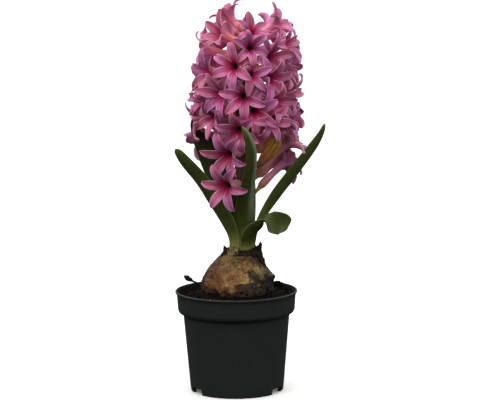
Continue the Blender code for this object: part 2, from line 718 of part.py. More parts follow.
def object_obstacle(obj):
    """The surface of a finished object, with its modifiers."""
    graph = bpy.context.evaluated_depsgraph_get()
    mesh = obj.evaluated_get(graph).to_mesh()
    points = [obj.matrix_world @ vertex.co for vertex in mesh.vertices]
    faces = [tuple(polygon.vertices) for polygon in mesh.polygons]
    return as_obstacle(obj.name, points, faces)


def meets_any(shell, obstacles):
    """Whether the surface of a closed shell, as points and faces, crosses that of any obstacle."""
    low, high = box_of(shell[0])
    near = []
    for _, other_low, other_high, surface in obstacles:
        if all(low[axis] <= other_high[axis] and other_low[axis] <= high[axis] for axis in range(3)):
            near.append(surface)
    surface = BVHTree.FromPolygons(*shell)
    return any(surface.overlap(other) for other in near)


def petal_shell(rows):
    """Points and faces of one petal as a closed slab, for testing what it meets."""
    points = [point for row in rows for point in row]
    faces = [(0, 1, 3, 2)]
    for row in range(len(rows) - 1):
        low, high = 4 * row, 4 * row + 4
        faces += [
            (low, low + 1, high + 1, high),
            (low + 2, low + 3, high + 3, high + 2),
            (low, low + 2, high + 2),
            (low, high + 2, high),
            (low + 1, low + 3, high + 3),
            (low + 1, high + 3, high + 1),
        ]
    last = 4 * (len(rows) - 1)
    faces.append((last, last + 1, last + 3, last + 2))
    return points, faces


def foot_row(floret, index, extra=0.0):
    """The row that a petal springs from, between two corners of the mouth's outer and inner edges."""
    outer = tube_rings(floret)[-1]
    inner = throat_rings(floret)[0]
    following = (index + 1) % SIDES
    row = [outer[index], outer[following], inner[index], inner[following]]
    middle = sum(row, Vector()) / 4
    return [point + (point - middle).normalized() * extra for point in row]


def petal_slab(floret, index, petal, extra=0.0):
    """Points and faces of one petal as a closed slab, as if its foot were cut at the mouth."""
    return petal_shell([foot_row(floret, index, extra / 2), *petal_rows(floret, index, petal, extra)])


def petal_core(floret, index, petal):
    """A petal's slab, drawn in at its foot, so that it meets a neighbour's core only where they cross."""
    foot = foot_row(floret, index)
    middle = sum(foot, Vector()) / 4
    foot = [point.lerp(middle, CORE_INSET) for point in foot]
    return petal_shell([foot, *petal_rows(floret, index, petal, CORE_MARGIN)])


def lay_petals(florets, obstacles):
    """A free way to lay each petal of each floret, so that no petal meets another petal, floret or leaf."""
    choices = petal_choices()
    nature = random.Random(7)
    laid = []
    for number, floret in enumerate(florets):
        others = [obstacle for obstacle in obstacles if obstacle[0] != number]
        chosen, cores = [], []
        for index in range(SIDES):
            natural_spread = floret.spread + nature.uniform(-SPREAD_VARIES, SPREAD_VARIES)
            natural_sway = nature.uniform(-SWAY_VARIES, SWAY_VARIES)
            for choice in choices:
                spread = max(natural_spread + choice.spread, LEAST_SPREAD)
                petal = choice._replace(spread=spread, sway=natural_sway + choice.sway)
                core = petal_core(floret, index, petal)
                if meets_any(core, cores):
                    continue
                if not meets_any(petal_slab(floret, index, petal, CLEARANCE), others):
                    break
            chosen.append(petal)
            cores.append(as_obstacle(number, *core))
            obstacles.append(as_obstacle(number, *petal_slab(floret, index, petal)))
        laid.append(chosen)
    return laid


def add_floret(name, floret, petals, parts, material):
    """One floret as a single solid: stalk, tube, open throat and six petals."""
    outer = tube_rings(floret)
    inner = throat_rings(floret)
    points = [point for ring in outer for point in ring]
    faces = [tuple(range(SIDES))]
    for ring in range(1, len(outer)):
        faces += band_faces((ring - 1) * SIDES, ring * SIDES, SIDES)
    outer_edge = (len(outer) - 1) * SIDES
    inner_edge = len(points)
    points += inner[0] + inner[1]
    faces += band_faces(inner_edge, inner_edge + SIDES, SIDES)
    faces.append(tuple(range(inner_edge + SIDES, inner_edge + 2 * SIDES)))
    for index, petal in enumerate(petals):
        following = (index + 1) % SIDES
        row = [outer_edge + index, outer_edge + following, inner_edge + index, inner_edge + following]
        for corners in petal_rows(floret, index, petal):
            start = len(points)
            points += corners
            new = [start, start + 1, start + 2, start + 3]
            faces += [
                (row[0], row[1], new[1], new[0]),
                (row[2], row[3], new[3], new[2]),
                (row[0], row[2], new[2], new[0]),
                (row[1], row[3], new[3], new[1]),
            ]
            row = new
        faces.append((row[0], row[1], row[3], row[2]))
    return add_mesh(name, points, faces, parts, material)


def add_florets(parts, obstacles):
    pink = make_material("petal_pink", (0.40, 0.10, 0.21), 0.55)
    for number, floret in enumerate(FLORETS):
        rings = tube_rings(floret)
        points = [point for ring in rings for point in ring]
        faces = []
        for ring in range(1, len(rings)):
            faces += band_faces((ring - 1) * SIDES, ring * SIDES, SIDES)
        obstacles.append(as_obstacle(number, points, faces))
    laid = lay_petals(FLORETS, obstacles)
    for number, (floret, petals) in enumerate(zip(FLORETS, laid)):
        add_floret(f"floret_{number + 1:02d}", floret, petals, parts, pink)


def add_bud(parts):
    """The small closed bud that ends the stem."""
    green = make_material("bud_green", (0.22, 0.13, 0.07), 0.5)
    foot = stem_centre(BUD_FOOT)
    centres = [foot + UP * rise * MM for rise, _ in BUD_PROFILE]
    return add_loft("bud_top", centres, [radius * MM for _, radius in BUD_PROFILE], 8, parts, green)


def add_withered(parts):
    """A spent floret, shrunk to a closed golden-brown trumpet."""
    brown = make_material("petal_withered", (0.22, 0.10, 0.03), 0.7)
    centres = smooth_line([Vector(point) * MM for point in WITHERED_LINE], WITHERED_RINGS)
    widths = smooth_line([(radius, radius) for radius in WITHERED_RADII], WITHERED_RINGS)
    radii = [width[0] * MM for width in widths]
    return add_loft("floret_withered", centres, radii, WITHERED_SIDES, parts, brown)


def add_twig(parts):
    bark = make_material("twig_bark", (0.02, 0.013, 0.01), 0.9)
    centres = smooth_line([Vector(point) * MM for point in TWIG_LINE], len(TWIG_RADII))
    return add_loft("twig", centres, [radius * MM for radius in TWIG_RADII], 6, parts, bark)


def main():
    clear_scene()
    parts = make_collection("Potted Hyacinth")
    cutters = make_collection("Cutters")
    add_pot(parts, cutters)
    add_soil(parts, cutters)
    add_bulb(parts)
    add_scraps(parts)
    stem = add_stem(parts)
    leaves = add_leaves(parts)
    withered = add_withered(parts)
    bud = add_bud(parts)
    add_twig(parts)
    bpy.context.view_layer.update()
    add_florets(parts, [object_obstacle(obj) for obj in (stem, *leaves, withered, bud)])


main()
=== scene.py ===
"""A hyacinth in flower in a small nursery pot, with its studio: a Blender add-on, run as a script.

Metres, +Z up. The origin is on the ground under the middle of the pot, and -Y is the front.
Azimuths are degrees round the vertical, from the front towards +X.
"""

import itertools
import random
from collections import namedtuple
from functools import partial
from math import cos, exp, pi, radians, sin, sqrt, tan, tau

import bmesh
import bpy
from bpy.props import FloatProperty, FloatVectorProperty, PointerProperty
from mathutils import Matrix, Vector, noise
from mathutils.bvhtree import BVHTree


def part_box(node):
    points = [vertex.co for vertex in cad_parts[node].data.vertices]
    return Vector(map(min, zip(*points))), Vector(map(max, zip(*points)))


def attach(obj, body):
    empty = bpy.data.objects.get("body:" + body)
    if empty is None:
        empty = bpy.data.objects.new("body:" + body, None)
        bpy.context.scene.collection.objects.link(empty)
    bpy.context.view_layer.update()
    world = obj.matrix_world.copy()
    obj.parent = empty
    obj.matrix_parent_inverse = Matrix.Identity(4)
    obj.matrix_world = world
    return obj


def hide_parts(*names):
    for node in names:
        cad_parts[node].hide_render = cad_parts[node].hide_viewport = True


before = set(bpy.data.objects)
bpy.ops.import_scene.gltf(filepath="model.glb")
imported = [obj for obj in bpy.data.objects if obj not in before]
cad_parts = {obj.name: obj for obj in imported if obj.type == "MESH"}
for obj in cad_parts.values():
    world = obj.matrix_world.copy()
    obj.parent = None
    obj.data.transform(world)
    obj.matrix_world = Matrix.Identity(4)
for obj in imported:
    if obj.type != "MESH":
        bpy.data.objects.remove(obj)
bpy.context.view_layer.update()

bl_info = {
    "name": "Potted Hyacinth",
    "version": (1, 0, 0),
    "blender": (4, 5, 0),
    "location": "3D View > Sidebar > Hyacinth",
    "description": "Builds a hyacinth growing from its bulb in a nursery pot",
    "category": "Add Mesh",
}

MM = 0.001
UP = Vector((0.0, 0.0, 1.0))
FRONT = Vector((0.0, -1.0, 0.0))
GAP = 0.3 * MM  # between the stem and what grows from it


# ---------------------------------------------------------------- sizes, in millimetres unless MM is named

# Pot
POT_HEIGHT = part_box("pot")[1].z
LIP_RADIUS = 45.0 * MM
COLLAR_RADIUS = 43.4 * MM
COLLAR_BOTTOM = 58.6 * MM
BODY_TOP = 55.8 * MM
BODY_TOP_RADIUS = 39.0 * MM
BASE_RADIUS = 34.1 * MM
WALL = 1.1 * MM
FOOT_HEIGHT = 4.5 * MM
FOOT_WIDTH = 2.6 * MM
FLOOR_THICKNESS = 1.5 * MM
PAD_RADIUS = 10.0 * MM
FOOT_COUNT = 3
NOTCH_ANGLE = 24.0
DRAIN_COUNT = 6
DRAIN_RADIUS = 2.0 * MM
DRAIN_CIRCLE = 25.0 * MM
DRAIN_SIDES = 32
POT_SEGMENTS = 160
FILLET = 0.5 * MM
FILLET_STEPS = 4
MERGE_DISTANCE = 0.001 * MM
SHARP_ANGLE = radians(38)

# Soil
SOIL_EDGE = 71.4
SOIL_AT_BULB = 73.2
SOIL_SEAT = 27.0  # radius where the soil meets the bulb
SOIL_WALL = 41.0  # radius where it has come down to its edge
SOIL_SEGMENTS = 200
SOIL_ROWS = 34
SOIL_SEED = 21
CRUMB_COUNT = 620
CLINGING_COUNT = 170
# The largest lumps lie against the wall at the right, behind the bulb: azimuth, radius, size, height over
# the soil's edge.
LUMPS = (
    (122, 38.6, 1.7, 2.3),
    (127, 39.2, 1.5, 2.5),
    (132, 38.4, 1.9, 1.8),
    (117, 39.4, 1.3, 2.4),
    (112, 38.2, 1.6, 1.0),
    (138, 39.0, 1.2, 2.0),
    (146, 37.6, 1.7, 1.2),
    (120, 38.8, 1.4, 4.3),
    (125, 38.7, 1.6, 4.6),
    (130, 38.6, 1.3, 4.2),
)
# Bits of husk on the soil: azimuth, radius, size
HUSKS = ((-14, 37.5, 1.2), (12, 38.5, 1.0), (-33, 35.0, 0.8), (31, 36.5, 0.7), (-52, 38.0, 0.8))

# Bulb: height, sideways place of the centre, radius
BULB_RINGS = (
    (46.0, 1.0, 6.0), (48.5, 1.0, 13.0), (55.0, 1.0, 20.5), (64.0, 1.0, 25.0), (73.0, 1.0, 26.6),
    (80.0, 0.8, 26.4), (86.0, 1.4, 24.4), (91.0, 1.2, 21.6), (95.5, 2.0, 18.0), (99.5, 3.0, 15.2),
    (102.0, 4.3, 13.6), (103.6, 4.8, 12.8),
)
BULB_FOOT = BULB_RINGS[0][0]
BULB_NECK = BULB_RINGS[-1][0]
BULB_SIDES = 240
BULB_ROWS = 190
# Loose flakes of the outermost skin: azimuth, place up the bulb, width in degrees, height as a share
FLAKES = (
    (-78, 0.46, 34, 0.10), (-46, 0.44, 26, 0.09), (-18, 0.40, 22, 0.07),
    (-60, 0.60, 22, 0.10), (8, 0.62, 20, 0.09), (34, 0.50, 26, 0.10),
    (60, 0.66, 18, 0.08), (84, 0.52, 22, 0.10), (120, 0.58, 26, 0.12),
    (165, 0.50, 30, 0.10), (-150, 0.62, 24, 0.11), (-118, 0.50, 28, 0.09),
)
FLAKE_COLUMNS = 26
FLAKE_ROWS = 14
FLAKE_SEED = 4

# Scraps of dry tunic round the neck: azimuths of the two ends, top, how much it leans out
SCRAP_FOOT = 103.0
SCRAP_CENTRE = 5.0
SCRAPS = {
    "tunic_scrap_left": (-112, -62, 107.6, 0.16),
    "tunic_scrap_front": (-54, -14, 109.0, 0.05),
    "tunic_scrap_right": (64, 112, 110.4, 0.05),
}

# More rags of rotted tunic between the scraps: the two azimuths, foot, top, how much it leans out, seed
DARK_RAGS = (
    (-128, -96, 100.6, 105.6, 0.1, 11.0), (-96, -60, 100.6, 106.0, 0.14, 12.0),
    (-30, 14, 102.2, 105.8, 0.0, 13.0), (-8, 44, 102.0, 106.4, 0.03, 14.0),
    (26, 66, 101.4, 107.8, 0.04, 15.0), (46, 96, 100.2, 107.6, 0.06, 16.0),
    (60, 104, 95.4, 102.6, 0.06, 17.0), (72, 98, 92.6, 98.2, 0.08, 18.0),
    (110, 150, 100.8, 106.4, 0.1, 19.0), (148, 200, 100.9, 105.4, 0.05, 20.0),
    (196, 236, 100.8, 106.0, 0.1, 22.0),
)
RAG_COLUMNS = 46
RAG_ROWS = 16
# Wisps that stand up from the rags: radius, and points from foot to tip
WISPS = (
    (0.32, ((17.2, -2.0, 105.0), (18.6, -3.0, 108.0), (19.6, -4.0, 110.8), (21.4, -4.6, 111.8))),
    (0.26, ((16.6, -4.0, 104.0), (19.0, -6.0, 106.8), (20.6, -6.6, 107.2))),
    (0.28, ((-7.4, -2.6, 104.2), (-8.8, -3.6, 106.2), (-9.0, -4.4, 108.8))),
    (0.3, ((-4.0, -9.6, 104.4), (-5.4, -10.8, 107.6), (-5.0, -11.6, 109.6))),
)
STRAND_ROWS = 14
STRAND_SIDES = 8
# Height and how far the neck's surface lies from its middle
COLLAR_SHAPE = (
    (90.0, 23.6), (93.0, 21.4), (95.5, 18.9), (97.5, 17.4), (99.5, 15.6),
    (102.0, 13.9), (103.6, 12.9), (106.0, 12.4), (112.0, 12.4),
)

# Stem: centre line (sideways, height) and radius
STEM_LINE = (
    (5.3, 104.0), (6.2, 116.0), (8.4, 140.0), (8.8, 168.0),
    (7.8, 200.0), (8.4, 240.0), (10.2, 272.0),
)
STEM_RADIUS_FOOT = 6.2 * MM
STEM_RADIUS_TOP = 2.2 * MM
STEM_END = 271.0 * MM
# Height, how much thicker the stem is there, and how far it bows sideways
STEM_SWELL = (
    (104.0, 0.96, 0.0), (135.0, 1.05, -0.4), (160.0, 1.34, -2.2),
    (205.0, 1.5, -2.0), (245.0, 1.25, -1.5), (268.0, 0.96, 0.0),
)
STEM_RIBS = 10
STEM_RIB_DEPTH = 0.02
STEM_ROWS = 90
STEM_SIDES = 30
BUD_FOOT = 271.3 * MM
BUD_PROFILE = ((0.0, 1.1), (1.4, 1.6), (3.2, 2.1), (5.0, 1.9), (6.4, 1.3), (7.2, 0.7), (7.6, 0.25))
BUD_ROWS = 26
BUD_SIDES = 36

# Each leaf is rows from its foot to its tip: the middle of the blade, its width, the way its inner face
# looks, and half the angle of the arc that the blade makes across, in degrees.
LEAF_COLUMNS = 17
LEAF_ROWS = 80
LEAF_TIP = 4.0 * MM  # the length over which a blade rounds off
LEAVES = {
    "leaf_left": (
        ((-2.8, -5.1, 104.5), 15.8, (0.85, 0.53, 0.0), 46),
        ((-3.0, -6.2, 113.0), 15.8, (0.83, 0.55, 0.0), 44),
        ((-7.0, -8.8, 126.0), 15.6, (0.66, 0.70, 0.3), 30),
        ((-15.4, -11.0, 142.5), 15.2, (0.5, 0.75, 0.4), 24),
        ((-25.0, -13.5, 158.0), 12.6, (0.4, 0.8, 0.4), 20),
        ((-36.0, -16.0, 171.5), 10.5, (0.4, 0.8, 0.4), 20),
        ((-42.8, -17.0, 181.2), 5.6, (0.4, 0.8, 0.4), 16),
    ),
    "leaf_back_left": (
        ((-0.5, 4.9, 104.3), 9.5, (0.77, -0.64, 0.0), 36),
        ((-0.6, 7.0, 116.0), 12.5, (0.6, -0.8, 0.0), 34),
        ((-2.5, 9.0, 134.0), 20.0, (0.3, -0.95, 0.1), 28),
        ((-7.8, 9.8, 152.0), 23.0, (0.2, -0.95, 0.2), 24),
        ((-17.0, 9.0, 170.0), 19.0, (0.15, -0.97, 0.2), 22),
        ((-25.5, 7.5, 186.0), 12.0, (0.1, -0.97, 0.2), 22),
        ((-29.3, 6.5, 195.0), 7.0, (0.1, -0.97, 0.2), 22),
        ((-31.0, 6.0, 201.0), 2.4, (0.1, -0.97, 0.2), 22),
    ),
    "leaf_front": (
        ((4.8, -7.6, 104.2), 12.7, (0.07, 1.0, 0.0), 48),
        ((5.2, -8.8, 114.0), 12.9, (0.05, 1.0, 0.0), 40),
        ((6.4, -11.5, 128.0), 16.0, (0.0, 0.95, 0.2), 28),
        ((7.6, -17.0, 142.0), 13.5, (-0.15, 0.9, 0.35), 28),
        ((9.9, -25.0, 156.0), 11.0, (-0.3, 0.85, 0.4), 36),
        ((12.2, -33.0, 170.0), 9.5, (-0.35, 0.85, 0.35), 42),
        ((12.2, -39.0, 183.0), 8.0, (-0.35, 0.85, 0.35), 40),
        ((9.0, -42.0, 193.0), 5.5, (-0.35, 0.85, 0.35), 34),
        ((5.3, -43.0, 200.2), 2.2, (-0.35, 0.85, 0.35), 24),
    ),
    "leaf_right": (
        ((12.9, 0.6, 104.3), 10.8, (-1.0, 0.0, 0.0), 40),
        ((14.2, 0.9, 114.0), 11.2, (-0.97, 0.2, 0.1), 38),
        ((19.5, -0.5, 126.5), 13.0, (-0.8, 0.4, 0.4), 30),
        ((31.0, -1.5, 145.5), 12.0, (-0.55, 0.7, 0.45), 26),
        ((45.5, -2.5, 164.5), 11.0, (-0.5, 0.75, 0.4), 26),
        ((57.0, -3.0, 180.0), 9.0, (-0.5, 0.75, 0.4), 26),
        ((63.0, -3.0, 190.0), 5.5, (-0.5, 0.75, 0.4), 24),
        ((65.6, -3.0, 197.2), 2.4, (-0.5, 0.75, 0.4), 20),
    ),
    "leaf_back": (
        ((7.4, 9.3, 104.4), 12.0, (-0.2, -0.98, 0.0), 36),
        ((8.0, 11.4, 116.0), 12.5, (-0.15, -0.98, 0.1), 34),
        ((8.6, 18.0, 134.0), 13.5, (-0.1, -0.95, 0.3), 28),
        ((8.6, 28.0, 151.0), 12.5, (0.0, -0.86, 0.5), 24),
        ((8.6, 39.0, 165.0), 9.0, (0.0, -0.8, 0.6), 22),
        ((8.6, 46.0, 173.0), 3.0, (0.0, -0.8, 0.6), 20),
    ),
    "leaf_curled": (
        ((9.5, -8.7, 104.3), 13.0, (-0.44, 0.9, 0.0), 38),
        ((9.8, -10.6, 110.5), 13.5, (-0.45, 0.88, 0.1), 34),
        ((11.6, -15.2, 119.4), 13.5, (-0.5, 0.84, 0.15), 26),
        ((15.8, -19.2, 125.0), 9.5, (-0.35, 0.85, 0.3), 18),
        ((19.6, -20.6, 128.2), 7.0, (0.0, 0.5, 0.85), 14),
        ((22.2, -19.8, 128.4), 10.5, (0.0, -0.75, 0.65), 14),
        ((26.0, -18.6, 127.3), 15.8, (0.05, -0.98, 0.2), 18),
        ((31.0, -18.0, 126.6), 17.0, (0.15, -0.97, 0.0), 18),
        ((35.0, -17.0, 124.8), 15.8, (0.45, -0.87, 0.0), 18),
        ((37.4, -15.4, 121.6), 11.0, (0.7, -0.65, 0.0), 16),
    ),
}

# Florets
SIDES = 6
STALK_LENGTH = 4.0 * MM
STALK_RADIUS = 1.3 * MM
TUBE_PROFILE = ((0.0, 2.2), (0.16, 3.0), (0.55, 2.5), (1.0, 3.9))  # share from stalk to mouth, radius
TUBE_STEPS = 40
STALK_SWELLS = ((0.0, 1.15), (0.35, 0.9))  # share of the stalk, times its radius
TUBE_SWELLS = ((0.0, 1.7), (0.16, 3.5), (0.32, 3.6), (0.6, 2.95), (0.84, 3.2))
THROAT_SWELLS = ((0.22, 2.2), (0.5, 1.6), (1.0, 1.25))
THROAT_STEPS = 60
PETAL_SEED = 7
FLORET_SEED = 12
THROAT_DEPTH = 5.0 * MM
PETAL_THICKNESS = 0.9 * MM
PETAL_LENGTH = 16.0 * MM
PETAL_WIDTHS = ((0.0, 3.9), (0.34, 6.3), (0.68, 5.6), (1.0, 1.5))  # share from foot to tip, width
PETAL_STEPS = 12
PETAL_BEND = 0.9  # below 1 the petal rolls back early, above 1 late
PETAL_START = 24.0  # degrees that a petal already leans outwards at the mouth
LEAST_SPREAD = 40.0  # degrees that a petal's tip leans outwards at the least
SPREAD_VARIES = 12.0  # degrees either way
SWAY_VARIES = 1.0 * MM
# What a petal tries so that it meets nothing: degrees further out, millimetres sideways, share of its length
TURNS = (0, 14, -14, 28, -28, 42, -42, 58, -58)
SWAYS = (0.0, 1.5, -1.5, 3.0, -3.0, 4.5, -4.5)
LENGTHS = (1.0, 0.86, 0.72, 0.55, 0.4, 0.28)
CLEARANCE = 0.45 * MM
CORE_INSET = 0.02  # share of the foot that a petal's core leaves out
CORE_MARGIN = 0.05 * MM  # that a core stands out beyond the petal past its foot
PETAL_COLUMNS = 8
PETAL_ROWS = 22
TUBE_RINGS = 24
THROAT_RINGS = 8

Floret = namedtuple("Floret", "azimuth height reach pitch roll spread size drop")
Petal = namedtuple("Petal", "spread sway length bend")

# For each floret: where its mouth is, which way it faces and how far its petals roll back, in millimetres
# and degrees. Reach is from the stem's centre line, and drop is how far below its mouth the floret joins
# the stem.
FLORETS = tuple(Floret(*row) for row in (
    (6, 254, 23, 8, 12, 100, 0.95, 6), (-17, 241, 27, 4, 0, 105, 1.0, 5),
    (7, 235, 28, 0, 45, 105, 1.0, 5), (-3, 220, 28, -6, 8, 110, 1.0, 4),
    (-36, 221, 27, 0, 20, 90, 1.0, 4), (-27, 178, 28, -14, 20, 110, 1.05, 3),
    (-30, 155, 28, -6, 24, 100, 1.05, 4), (13, 209, 27, -6, 61, 105, 1.0, 4),
    (-9, 196, 28, -14, 10, 90, 1.0, 3), (38, 232, 27, -8, -20, 100, 1.0, 5),
    (44, 215, 28, -2, 41, 105, 1.0, 4), (10, 264, 15, 30, 0, 85, 0.76, 6),
    (-98, 274, 12, 52, 10, 62, 0.85, 9), (72, 269, 20, 34, 15, 85, 0.9, 9),
    (-64, 262, 19, 24, 0, 75, 0.95, 8), (78, 255, 27, 12, 30, 95, 1.0, 7),
    (-88, 250, 26, 6, 0, 80, 0.95, 5), (40, 247, 25, 6, 36, 95, 0.95, 6),
    (-60, 236, 28, 0, 14, 95, 1.0, 5), (-72, 218, 30, -4, 30, 100, 1.0, 4),
    (-48, 203, 29, -10, 0, 95, 1.0, 3), (75, 238, 29, 2, 10, 100, 1.0, 5),
    (82, 219, 30, -2, 32, 105, 1.0, 4), (36, 195, 29, -16, 20, 100, 1.0, 3),
    (78, 200, 30, -6, 0, 100, 1.0, 4), (-86, 201, 32, -8, 35, 100, 1.0, 3),
    (89, 182, 29, 36, 5, 75, 1.05, 23), (104, 167, 33, 37, 20, 80, 1.0, 21),
    (128, 168, 30, 14, 45, 80, 0.95, 13), (180, 268, 14, 40, 0, 85, 0.85, 8),
    (132, 261, 20, 24, 25, 90, 0.95, 7), (-142, 260, 19, 22, 0, 90, 0.95, 7),
    (-118, 245, 26, 12, 22, 100, 1.0, 6), (-170, 231, 28, 2, 0, 100, 1.0, 5),
    (118, 238, 28, 2, 25, 100, 1.0, 5), (-128, 229, 28, 0, 10, 105, 1.0, 5),
    (142, 219, 29, 0, 36, 105, 1.0, 4), (-104, 213, 30, -4, 10, 100, 1.0, 4),
    (-156, 212, 29, -4, 28, 105, 1.0, 4), (120, 204, 30, -2, 15, 105, 1.0, 4),
    (166, 199, 29, -8, 0, 105, 1.0, 4), (-116, 187, 31, -8, 30, 105, 1.0, 4),
    (138, 182, 29, 4, 30, 100, 1.0, 8), (-166, 178, 29, -4, 15, 100, 1.0, 5),
))

FULLER_FROM = 110  # degrees round from the front
BACK_SIZE = 1.13  # the florets at the back are fuller
BACK_FROM = 95  # degrees round from the front
BACK_BROADER = 1.3  # times the width of a petal there
TWIST_VARIES = 34  # degrees either way
ROLLS = (0.7, 1.0, 1.2, 1.45)  # times a floret's hooks
HOOKS = (0.3, 0.6, 0.9, 1.1, 1.3, 1.5)  # times a petal's hook
PETAL_FOOT = ((0.0, 3.9), (0.1, 5.0), (0.24, 6.0))  # share from foot to tip, width
PETAL_OUTLINE = ((0.42, 1.0), (0.58, 0.97), (0.76, 0.76), (0.9, 0.4), (1.0, 0.07))  # times the full width
PETAL_HOLLOW = ((0.0, 0.52), (0.2, 0.75), (0.45, 0.95), (0.75, 0.8), (0.92, 0.8), (1.0, 0.2))
ANTHER_ROWS = 6
ANTHER_SIDES = 8
ANTHER_PLACE = (0.5, -0.3, 1.0)
MOST_LEAN = radians(158)  # no petal rolls back further than this

# Florets that sit a little off their place in the list
SETTLED = {
    1: {"size": 0.82},
    3: {"size": 0.9},
    21: {"height": 205, "size": 0.9},
    24: {"height": 202, "pitch": -6, "size": 0.92},
    28: {"reach": 28, "size": 0.86},
    30: {"size": 0.8, "height": 259},
    32: {"size": 1.1, "height": 257},
    33: {"size": 1.12, "height": 248},
    38: {"height": 209, "size": 1.1},
    42: {"size": 1.08},
    44: {"azimuth": -160, "height": 185, "size": 1.18},
}

# Spent floret: centre line, and radii at even steps along it
WITHERED_LINE = (
    (13.4, -3.8, 165.0), (19.0, -9.0, 170.0), (24.0, -13.0, 177.0),
    (29.0, -15.5, 184.5), (32.2, -16.5, 190.5),
)
WITHERED_RADII = (1.3, 3.0, 4.5, 5.2, 2.4)
WITHERED_ROWS = 70
WITHERED_SIDES = 72
LOBE_SEED = 3
LOBE_COLUMNS = 7
LOBE_ROWS = 12

# Twig on the soil
TWIG_LINE = (
    (-24.0, 17.0, 75.1), (-28.0, 18.2, 76.0), (-32.0, 19.4, 77.5),
    (-35.5, 20.4, 79.4), (-39.0, 21.4, 81.6),
)
TWIG_RADII = (1.3, 1.1, 0.8, 0.7, 1.6, 2.0, 0.5)
TWIG_ROWS = 40
TWIG_SIDES = 18

# Studio
FLOOR_SIZE = 24.0
WALL_RADIUS = 11.5
WALL_HEIGHT = 9.0
WALL_SIDES = 96
FLOOR_GLOW = 0.12
WALL_GLOW = 0.6
LIGHTS_AIM = Vector((0.01, 0.0, 0.15))
LIGHTS = (  # name, place, size, power and colour
    ("key", (-1.1, -1.3, 1.7), 1.1, 9.0, (1.0, 0.99, 0.97)),
    ("fill", (1.5, -1.0, 0.7), 1.3, 3.0, (0.97, 0.98, 1.0)),
    ("rim", (-0.4, 1.6, 1.6), 1.2, 5.0, (1.0, 1.0, 1.0)),
)
WORLD_STRENGTH = 1.75
# The brightness of the studio from straight down, over the horizon at 0.5, to straight up.
SKY_STOPS = ((0.0, 0.02), (0.49, 0.05), (0.56, (0.16, 0.16, 0.165)), (0.72, 0.6), (1.0, 1.0))
CAMERA_PLACE = (0.0107, -1.6, 0.3651)
CAMERA_PITCH = 7.97
CAMERA_ROLL = -0.5
CAMERA_LENS = 158.9


# ---------------------------------------------------------------- colour and materials


def linear(hex_code):
    """The linear colour of an sRGB hex code such as "a0527c"."""
    parts = [int(hex_code[start : start + 2], 16) / 255 for start in (0, 2, 4)]
    return tuple(part / 12.92 if part <= 0.04045 else ((part + 0.055) / 1.055) ** 2.4 for part in parts)


def opaque(colour):
    """Red, green, blue and alpha of a hex code, a grey from 0.0 to 1.0, or three linear parts."""
    if isinstance(colour, str):
        colour = linear(colour)
    elif isinstance(colour, float):
        colour = (colour, colour, colour)
    return (*colour, 1.0)


def shade(colour, factor):
    return tuple(factor * part for part in colour)


def halfway(one, other):
    return tuple(0.5 * (a + b) for a, b in zip(one, other))


def fill(node, given):
    """Gives a node its properties, socket values and links: a node or an output socket is linked."""
    for name, value in given.items():
        if isinstance(value, bpy.types.Node):
            value = next(output for output in value.outputs if output.enabled)
        if isinstance(value, bpy.types.NodeSocket):
            node.id_data.links.new(value, node.inputs[name])
        elif name == "stops":
            while len(node.color_ramp.elements) < len(value):
                node.color_ramp.elements.new(1.0)
            for stop, (place, colour) in zip(node.color_ramp.elements, value):
                stop.position = place
                stop.color = opaque(colour)
        elif isinstance(name, str) and hasattr(node, name):
            setattr(node, name, value)
        else:
            socket = node.inputs[name]
            socket.default_value = opaque(value) if socket.type == "RGBA" else value


def add_node(material, kind, given=None):
    """A new node in a material, with its properties, socket values and links."""
    new = material.node_tree.nodes.new("ShaderNode" + kind)
    fill(new, given or {})
    return new


def new_material(name, given):
    """A material with a Principled shader that has these socket values: both, and add_node for it."""
    material = bpy.data.materials.new(name)
    material.use_nodes = True
    shader = material.node_tree.nodes["Principled BSDF"]
    fill(shader, given)
    return material, shader, partial(add_node, material)


COLOURS = {"data_type": "RGBA"}
MULTIPLY = {**COLOURS, "blend_type": "MULTIPLY"}


def moulded_polypropylene(colour):
    """Black polypropylene with a fine mould texture: a soft sheen, dried splashes that dull it in places, and
    painted shade that turns its inner face near black and rougher."""
    material, shader, add = new_material("moulded_polypropylene", {"IOR": 1.49, "Specular IOR Level": 0.2})
    coordinates = add("TexCoord")
    place = coordinates.outputs["Object"]
    cloud = add("TexNoise", {"Scale": 1 / (22 * MM), "Detail": 6.0, "Vector": place})
    grain = add("TexNoise", {"Scale": 1 / (0.5 * MM), "Detail": 2.0, "Vector": place})
    drips = add("Mapping", {"Scale": (1.0, 1.0, 0.18), "Vector": place})
    dust = add("TexNoise", {"Scale": 1 / (3.5 * MM), "Detail": 5.0, "Vector": drips})
    dusty = add("ValToRGB", {"stops": ((0.56, 0.0), (0.85, 0.12)), 0: dust})
    tint = add("Mix", {**COLOURS, 6: colour, 7: "4a4a44", 0: dusty})
    # The surface's normal points towards the pot's axis only on the inner face.
    level = add("Mapping", {"Scale": (1.0, 1.0, 0.0), "Vector": place})
    turned = add("VectorMath", {"operation": "DOT_PRODUCT", 0: level, 1: coordinates.outputs["Normal"]})
    inner = add("MapRange", {"From Min": -4 * MM, "From Max": -16 * MM, "To Max": 0.9, "Value": turned})
    # Painted shade: the inner face is mixed most of the way to near black.
    painted_inner_shade = add("Mix", {**COLOURS, 7: "0b0806", 0: inner, 6: tint})
    rough = add("MapRange", {"To Min": 0.4, "To Max": 0.6, "Value": cloud})
    rougher = add("Math", {"operation": "MAXIMUM", 0: rough, 1: inner})
    bump = add("Bump", {"Strength": 0.35, "Distance": 0.05 * MM, "Height": grain})
    fill(shader, {"Base Color": painted_inner_shade, "Roughness": rougher, "Normal": bump})
    return material


